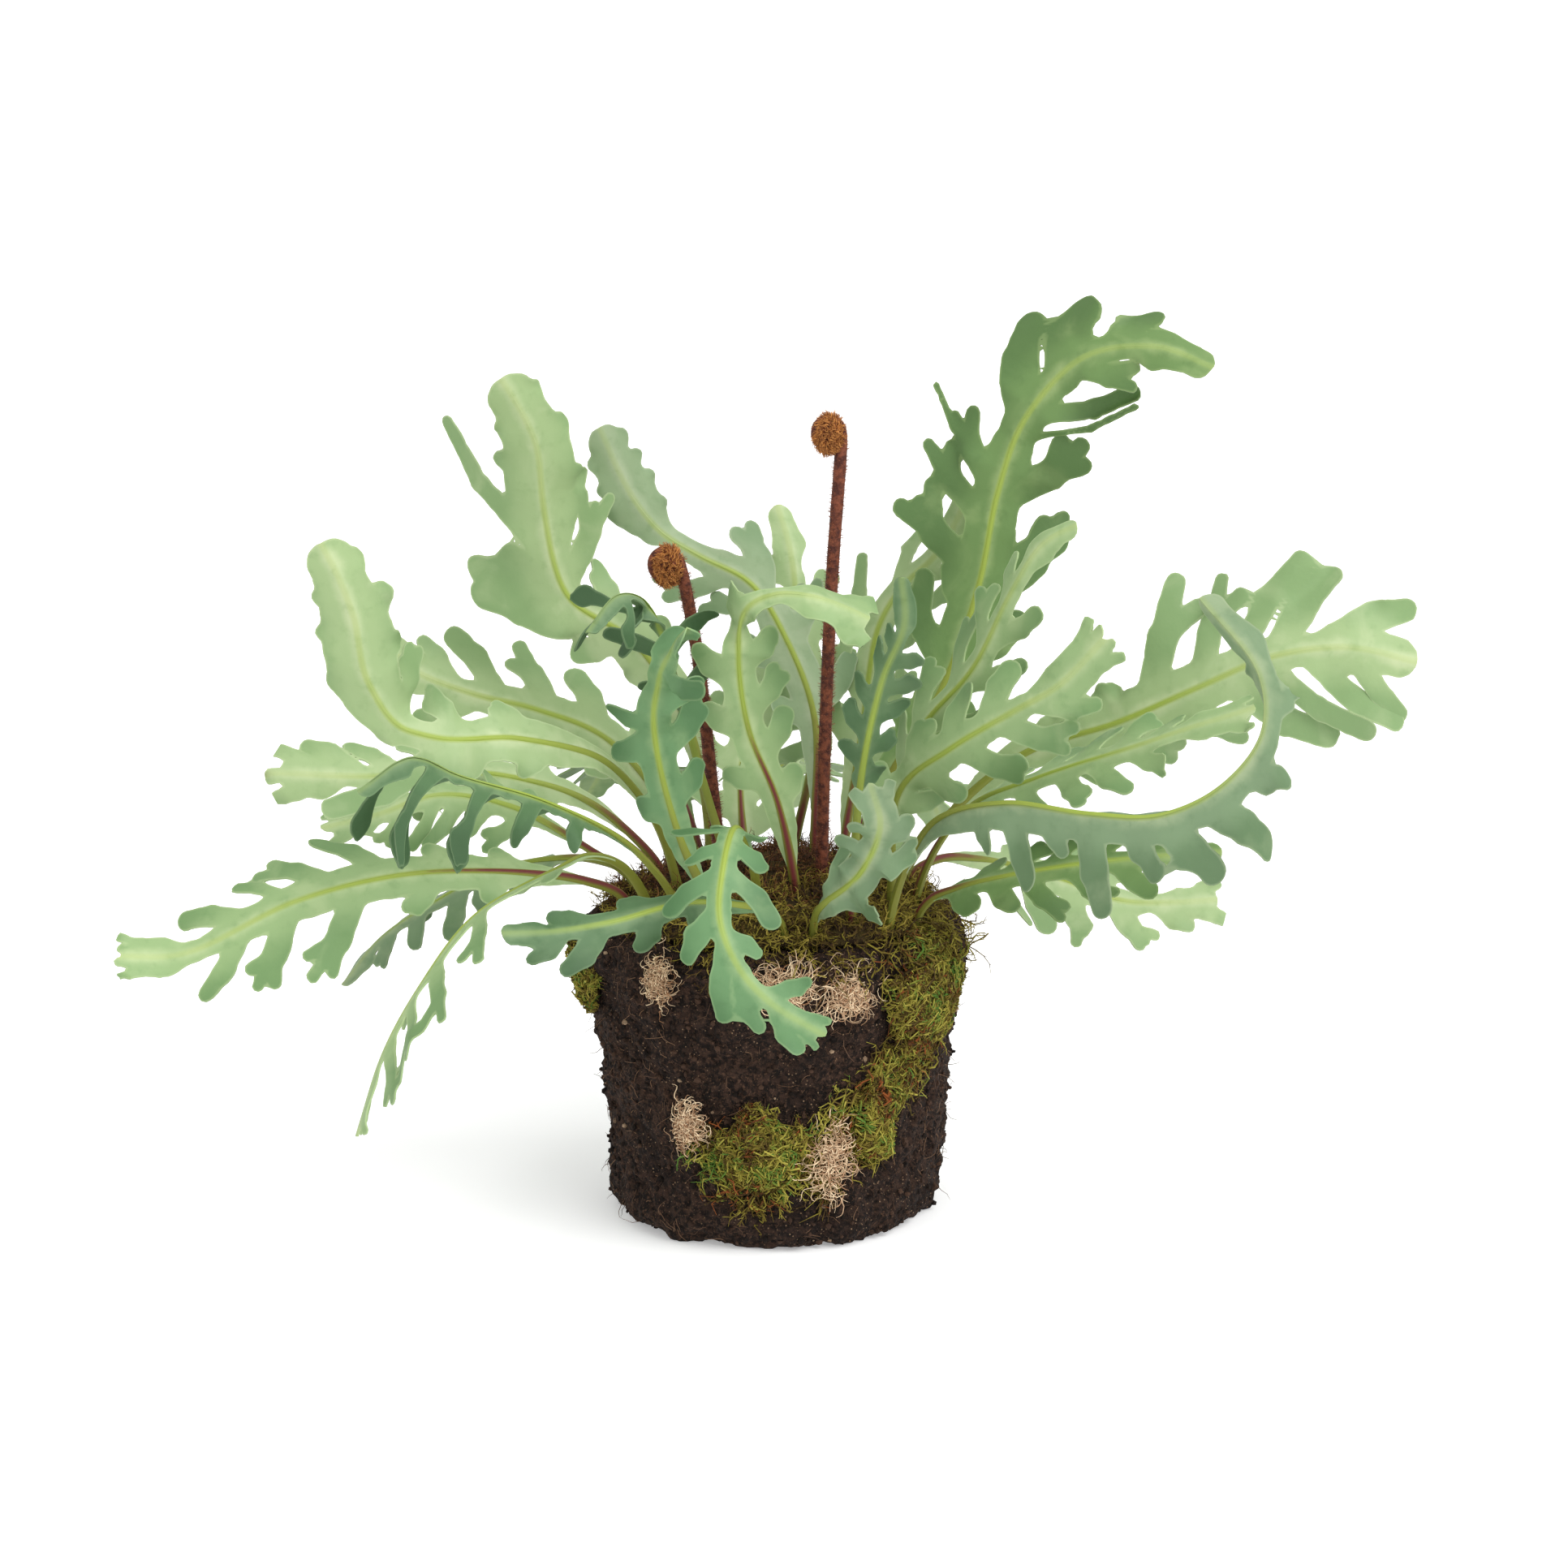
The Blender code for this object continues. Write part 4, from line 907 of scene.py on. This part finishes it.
class Blade:
    """A frond's blade: drawn flat round its midrib, then bent along it."""

    def __init__(self, node, look):
        self.look = look
        self.rib = rib = Rib(node)
        rng = np.random.default_rng(look["seed"])
        self.phase = rng.uniform(0, 6.28, 4)
        self.lobes = []
        if look["lobes"]:
            for side, rows in look["lobes"].items():
                for share, reach, lean, half, *fingers in rows:
                    root = rib.start + (rib.length - rib.start) * share
                    self.lobes.append(Lobe(1 if side == "R" else -1, root, reach * MM, lean, half * MM,
                                           fingers[0] if fingers else 1, look, rng))
        else:
            period = (rib.tongue - rib.start) / rib.lobes
            for k, (s, reach) in enumerate(zip(rib.peak_s, rib.peak_reach)):
                side = 1 if k % 2 == 0 else -1
                lean = look["lean"] + 14 - 20 * k / len(rib.peak_s) + rng.uniform(-5, 5)
                reach = reach * look["stretch"] * rng.uniform(0.88, 1.12)
                half = 0.36 * period * math.sin(math.radians(lean)) * rng.uniform(0.85, 1.05)
                root = (s + 0.65 * reach - reach / math.tan(math.radians(lean))
                        + rng.uniform(-0.06, 0.06) * period)
                fingers = int(np.clip(round(look["split"] + rng.normal(0, 0.6)), 1, 3))
                self.lobes.append(Lobe(side, root, reach, lean, half, fingers, look, rng))
        self.tip_half = look["end"] * MM if look["end"] else rib.tongue_half * 0.75
        half, tips = self.tip_half, look["tips"]
        self.end = rib.length - half * (0.68 if tips <= 1 else 1.25)
        for k in range(tips if tips > 1 else 0):
            aside = 2 * k / (tips - 1) - 1
            side = 1 if aside > 0 else -1
            lobe = Lobe(side, self.end, 1.0 * MM, 30, half / tips, 1, look, rng)
            first = np.array((self.end + 0.2 * half, 0.66 * half * aside))
            way = flat_way(24 * aside + rng.uniform(-6, 6), 1)
            last = first + way * half * rng.uniform(0.75, 1.05)
            lobe.rods = [(lobe.root, first, half * 0.8 / tips, half * 0.95 / tips),
                         (first, last, half * 0.95 / tips, half * 0.85 / tips)]
            lobe.length = rib.length - self.end
            self.lobes.append(lobe)
        for k in range(look["scallop"]):
            for side in (-1, 1):
                root = rib.tongue + (self.end - rib.tongue) * (k + 0.4 + 0.25 * side) / look["scallop"]
                self.lobes.append(Lobe(side, root, self.wing(root) * rng.uniform(1.12, 1.3), 62,
                                       half * rng.uniform(0.30, 0.42), 1, look, rng))
        for lobe in self.lobes:
            lobe.set_off(self)

    def leafy(self, s):
        """0 along the bare stalk, and 1 from where the blade has begun."""
        return smooth((s - 0.4 * self.rib.start) / (0.75 * self.rib.start))

    def wing(self, s):
        """Half the width of the uncut part of the blade."""
        rib = self.rib
        lobed = self.look["wing"] * np.interp(s, rib.peak_s, rib.peak_reach)
        lobed = FLANGE + (lobed - FLANGE) * self.leafy(s)
        onward = smooth((s - rib.tongue + 4 * MM) / (0.4 * (rib.length - rib.tongue)))
        if self.look["tips"] > 1:
            return lobed + (self.tip_half * 0.9 - lobed) * onward
        rounding = smooth((s - self.end + 2.4 * self.tip_half) / (2.4 * self.tip_half))
        return lobed + (self.tip_half * (1 - 0.32 * rounding) - lobed) * onward

    def sheet(self, flat):
        """The blade as if uncut: points of the flat blade, carried along the midrib."""
        s, t = flat[:, 0], flat[:, 1]
        centre, _, normal, across = self.rib.read(s)
        fall = np.interp(s, self.rib.peak_s, self.rib.peak_fall)
        reach = np.interp(s, self.rib.peak_s, self.rib.peak_reach)
        share = np.abs(t) / reach
        wave = (np.sin(s / (5.2 * MM) + self.phase[0] + np.where(t > 0, 2.1, 0))
                + 0.6 * np.sin(s / (3.1 * MM) + self.phase[1] + np.where(t > 0, 4.0, 0)))
        height = (1.0 * MM * share**1.5 * wave - 0.08 * reach * share**2
                  - 0.3 * MM * np.minimum(1, np.abs(t) / (2 * MM)))
        return (centre + across * (t * np.cos(fall))[:, None]
                + normal * (height - np.abs(t) * np.sin(fall))[:, None])

    def outline(self, flat):
        """Less than 0 inside the flat blade, more than 0 outside it."""
        s, t = flat[:, 0], flat[:, 1]
        body = np.where(s < self.end, np.abs(t) - self.wing(np.minimum(s, self.end)),
                        np.hypot(s - self.end, t) - self.wing(np.array(self.end)))
        field = body
        for lobe in self.lobes:
            for rod in lobe.rods:
                field = soft_union(field, to_rod(flat, *rod), WEB)
        return field, body

    def bend(self, flat):
        """Carries points of the flat blade into space: along the midrib, then lobe by lobe."""
        sheet = self.sheet(flat)
        _, body = self.outline(flat)
        weight = np.exp(-np.clip(body, -6 * MM, 20 * MM) / (1.5 * MM))
        total, places, out = weight.copy(), sheet * weight[:, None], np.zeros(len(flat))
        for lobe in self.lobes:
            near = np.exp(-np.clip(lobe.distance(flat), -3 * MM, 20 * MM) / (1.2 * MM))
            near = np.where(np.sign(flat[:, 1]) == lobe.side, near, near * 0.02)
            laid, grown, share = lobe.lay(flat)
            places += near[:, None] * (sheet * (1 - grown[:, None]) + laid * grown[:, None])
            out += near * np.clip(share, 0, 1)
            total += near
        return places / total[:, None], out / total

    def cut(self):
        """The flat blade's mesh: a grid, trimmed along the outline."""
        reach = max(abs(rod[1][1]) + rod[3] for lobe in self.lobes for rod in lobe.rods) + 2 * MM
        ahead = max(rod[1][0] + rod[3] for lobe in self.lobes for rod in lobe.rods)
        ahead = max(ahead, self.end + self.wing(np.array(self.end))) + 2 * MM
        xs = np.arange(0.4 * self.rib.start, ahead, LEAF_CELL)
        ys = np.arange(-reach, reach + LEAF_CELL, LEAF_CELL)
        flat = np.stack(np.meshgrid(xs, ys, indexing="ij"), -1).reshape(-1, 2)
        ruffle = np.array([noise.noise((x / RUFFLE_WIDE, y / RUFFLE_WIDE, self.phase[2])) for x, y in flat])
        ruffle *= self.leafy(flat[:, 0])
        field = (self.outline(flat)[0] + RUFFLE_HIGH * ruffle).reshape(len(xs), len(ys))
        points, depth, index, faces = [], [], {}, []

        def corner(a, b=None):
            name = (a, b) if b is None or a < b else (b, a)
            if name not in index:
                index[name] = len(points)
                p = np.array((xs[a[0]], ys[a[1]]))
                if b is None:
                    points.append(p)
                    depth.append(-field[a])
                else:
                    share = min(max(field[a] / (field[a] - field[b]), 0.12), 0.88)
                    points.append(p + (np.array((xs[b[0]], ys[b[1]])) - p) * share)
                    depth.append(0.0)
            return index[name]

        inside = field < 0
        some = inside[:-1, :-1] | inside[1:, :-1] | inside[:-1, 1:] | inside[1:, 1:]
        for i, j in np.argwhere(some):
            loop = [(i, j), (i, j + 1), (i + 1, j + 1), (i + 1, j)]
            face = []
            for here, onward in zip(loop, loop[1:] + loop[:1]):
                if inside[here]:
                    face.append(corner(here))
                if inside[here] != inside[onward]:
                    face.append(corner(here, onward))
            if len(face) > 2:
                faces.append(face)
        return np.array(points), depth, faces


def rib_tube(rib):
    """The stalk and midrib: a ridge that thins towards the tip, sunk into the blade."""
    sides, steps = 8, max(24, round(rib.length / (2.0 * MM)))
    s = np.linspace(0, rib.length * 0.97, steps + 1)
    centre, _, normal, across = rib.read(s)
    share = s / rib.length
    bladed = smooth((s - 0.6 * rib.start) / rib.start)
    wide = (1.6 * (1 - share) ** 0.9 + 0.15) * MM * (1 - 0.3 * bladed)
    tall = (1.45 * (1 - share) ** 1.1 + 0.1) * MM * (1 - 0.5 * bladed)
    turns = 2 * np.pi * np.arange(sides) / sides
    rings = (centre[:, None] + across[:, None] * (np.cos(turns) * wide[:, None])[:, :, None]
             + normal[:, None] * (np.sin(turns) * tall[:, None])[:, :, None])
    faces = []
    for i in range(steps):
        for k in range(sides):
            a, b = i * sides + k, i * sides + (k + 1) % sides
            faces.append((a, a + sides, b + sides, b))
    faces.append(tuple(range(sides)))
    faces.append(tuple(range((steps + 1) * sides - 1, steps * sides - 1, -1)))
    return rings.reshape(-1, 3), faces, np.repeat(share, sides), np.tile(np.sin(turns), steps + 1)


def finish_of_frond(name, red):
    """Satin leaf: pale beside the midrib, mottled like watercolour, darker towards the finger tips."""
    near, middle, far = (srgb(*shade) for shade in FROND_COLORS[name])
    leaf = Finish(f"frond {name}" + (" red" if red else ""), roughness=0.5, specular=0.4)
    across, finger = leaf.attribute("across"), leaf.attribute("finger")
    along, depth = leaf.attribute("along"), leaf.attribute("depth")
    mottle = leaf.noise(19.0, 4.0, Distortion=0.6)
    fine = leaf.noise(4.2, 4.0)
    spread = across + (mottle - 0.5) * 8.0 + (fine - 0.5) * 3.0
    # Pale band beside the midrib: partly the leaf's own pale centre, partly painted light on the lit side
    # of the midrib's groove.
    color = leaf.mix(leaf.step(spread, -1.5, 3.6), near, middle)
    color = leaf.mix(leaf.step(spread, 4.0, 15.0) * 0.75, color, far)
    color = leaf.mix(leaf.step(mottle, 0.52, 0.72) * 0.4, color, near)
    color = leaf.mix(leaf.step(fine, 0.55, 0.75) * 0.25, color, far)
    color = leaf.mix(finger * leaf.step(mottle, 0.3, 0.6) * 0.45, color, far)
    color = leaf.mix((1 - leaf.step(depth, 0.1, 0.7)) * 0.35, color, near)
    stem = leaf.mix(leaf.step(along, 0.1, 0.6), srgb(124, 126, 44), srgb(158, 178, 74))
    if red:
        up = leaf.step(along + (fine - 0.5) * 0.1, red - 0.12, red + 0.05)
        line = (1 - up) * leaf.step(leaf.attribute("crest"), 0.55, 0.95)
        stem = leaf.mix(line, stem, srgb(112, 36, 40))
    # The midrib line takes the stalk's own yellow-green, which here also stands for the shaded side of the
    # midrib's groove: partly painted shade.
    ridge = (1 - leaf.step(across, 0.3, 1.5)) * (1 - leaf.step(along, 0.55, 0.95) * 0.75)
    color = leaf.mix(ridge, color, stem)
    leaf.color(color)
    leaf.roughness(0.46 + fine * 0.16)
    leaf.bump(fine * 0.6 + mottle * 1.2, 0.5 * MM, 0.5)
    glow = leaf.node("BsdfTranslucent", {"Color": middle})
    solid = Field(leaf, leaf.shader.outputs["BSDF"])
    blend = leaf.node("MixShader", {0: 0.16, 1: solid, 2: glow})
    leaf.tree.links.new(blend.socket, leaf.tree.nodes["Material Output"].inputs["Surface"])
    return leaf.material


def make_frond(node, look):
    blade = Blade(node, look)
    flat, depth, faces = blade.cut()
    places, out = blade.bend(flat)
    leaf = link_mesh(node + "_leaf", places, faces, across=np.abs(flat[:, 1]) / MM, finger=out,
                     depth=np.array(depth) / MM, along=flat[:, 0] / blade.rib.length,
                     crest=np.zeros(len(flat)))
    thickness = leaf.modifiers.new("thick", "SOLIDIFY")
    thickness.thickness = LEAF_THICK
    thickness.offset = 0.0
    apply_modifiers(leaf)
    verts, faces, along, crest = rib_tube(blade.rib)
    ones = np.ones(len(verts))
    tube = link_mesh(node + "_stalk", verts, faces, across=ones * 0, finger=ones * 0, depth=ones * 5,
                     along=along, crest=crest)
    frond = joined(leaf, tube)
    bpy.ops.object.shade_smooth_by_angle(angle=math.radians(50))
    return frond


PLAIN_LOOK = dict(red=0.0, droop=0.12, hang=0.0, split=1.6, wing=0.33, lean=44, stretch=1.12, tips=1,
                  end=0, scallop=0, lobes={})
frond_finishes = {}
frond_slots = {s["node"]: s["material_slot"] for s in frame["record"]["subparts"]}
for node, look in FROND_LOOKS.items():
    frond = make_frond(node, {**PLAIN_LOOK, **look})
    finish_key = (look["finish"], look.get("red", 0.0))
    if finish_key not in frond_finishes:
        frond_finishes[finish_key] = finish_of_frond(*finish_key)
    stand_for(frond, frond_finishes[finish_key], frond_slots[node], node)

# ---------------------------------------------------------------- fiddleheads
# Young fronds, still coiled: a stem and a woolly head, covered in short rust-brown hairs that
# stand out from the stem and lie round the coil on the head.

HEAD_SIZE = {"fiddlehead_tall": (4.8, 4.6, 6.6), "fiddlehead_short": (4.8, 4.6, 6.8)}  # half, in mm

skin_finish = Finish("fiddlehead skin", roughness=0.7, specular=0.3)
skin_finish.color(skin_finish.mix(skin_finish.step(skin_finish.noise(2.0, 4.0), 0.35, 0.65),
                                  srgb(70, 32, 24), srgb(122, 66, 44)))
skin_finish.bump(skin_finish.noise(0.7, 2.0), 0.5 * MM)
rusty_wool = finish_of_strands("fiddlehead wool", (112, 58, 30), (222, 156, 84), 0.65, 0.35)
stem_hairs = finish_of_strands("stem hairs", (82, 42, 30), (158, 96, 66), 0.65, 0.35)
wool_random = np.random.default_rng(31)
for node, half_size in HEAD_SIZE.items():
    stem = copy_of(node, node + "_stem")
    rounding = stem.modifiers.new("round", "SUBSURF")
    rounding.levels = rounding.render_levels = 1
    apply_modifiers(stem)
    stem.data.shade_smooth()
    stand_for(stem, skin_finish.material, "fiddlehead_brown", node)
    points = np.array([v.co for v in stem.data.vertices])
    top = points[:, 2].max()
    coil = points[points[:, 2] > top - 9 * MM]
    heart = (coil.min(axis=0) + coil.max(axis=0)) / 2
    heart[2] = top - half_size[2] * 0.92 * MM
    bm = bmesh.new()
    bmesh.ops.create_icosphere(bm, subdivisions=4, radius=1.0)
    for vert in bm.verts:
        bulge = 1 + 0.10 * noise.noise(vert.co * 2.2) + 0.05 * noise.noise(vert.co * 6)
        vert.co = Vector(heart) + Vector(np.array(vert.co) * half_size * (MM * bulge * 0.86))
    head_mesh = bpy.data.meshes.new(node + "_head")
    bm.to_mesh(head_mesh)
    bm.free()
    head = bpy.data.objects.new(node + "_head", head_mesh)
    bpy.context.scene.collection.objects.link(head)
    head.data.shade_smooth()
    stand_for(head, skin_finish.material, "fiddlehead_brown")
    paths = []
    for place, normal in spots_on(head, 2600, wool_random):
        way = np.cross(normal, (0, 1, 0)) * 0.8 + normal * wool_random.uniform(0.35, 0.9)
        length = wool_random.uniform(1.3, 2.6) * MM
        paths.append(wander(place, way, length, 4, wool_random, 0.4, -normal * 0.2))
    wool = make_strands(node + "_wool", paths, wool_random.uniform(0.09, 0.16, len(paths)) * MM,
                        wool_random.random(len(paths)))
    stand_for(wool, rusty_wool, "fiddlehead_brown")
    paths = []
    for place, normal in spots_on(stem, 2200, wool_random, lambda p, n: p[2] < top - 8 * MM):
        way = normal + np.array((0, 0, wool_random.uniform(-0.2, 0.8)))
        paths.append(wander(place, way, wool_random.uniform(0.5, 1.3) * MM, 3, wool_random, 0.3))
    hairs = make_strands(node + "_hairs", paths, [0.08 * MM] * len(paths), wool_random.random(len(paths)))
    stand_for(hairs, stem_hairs, "fiddlehead_brown")
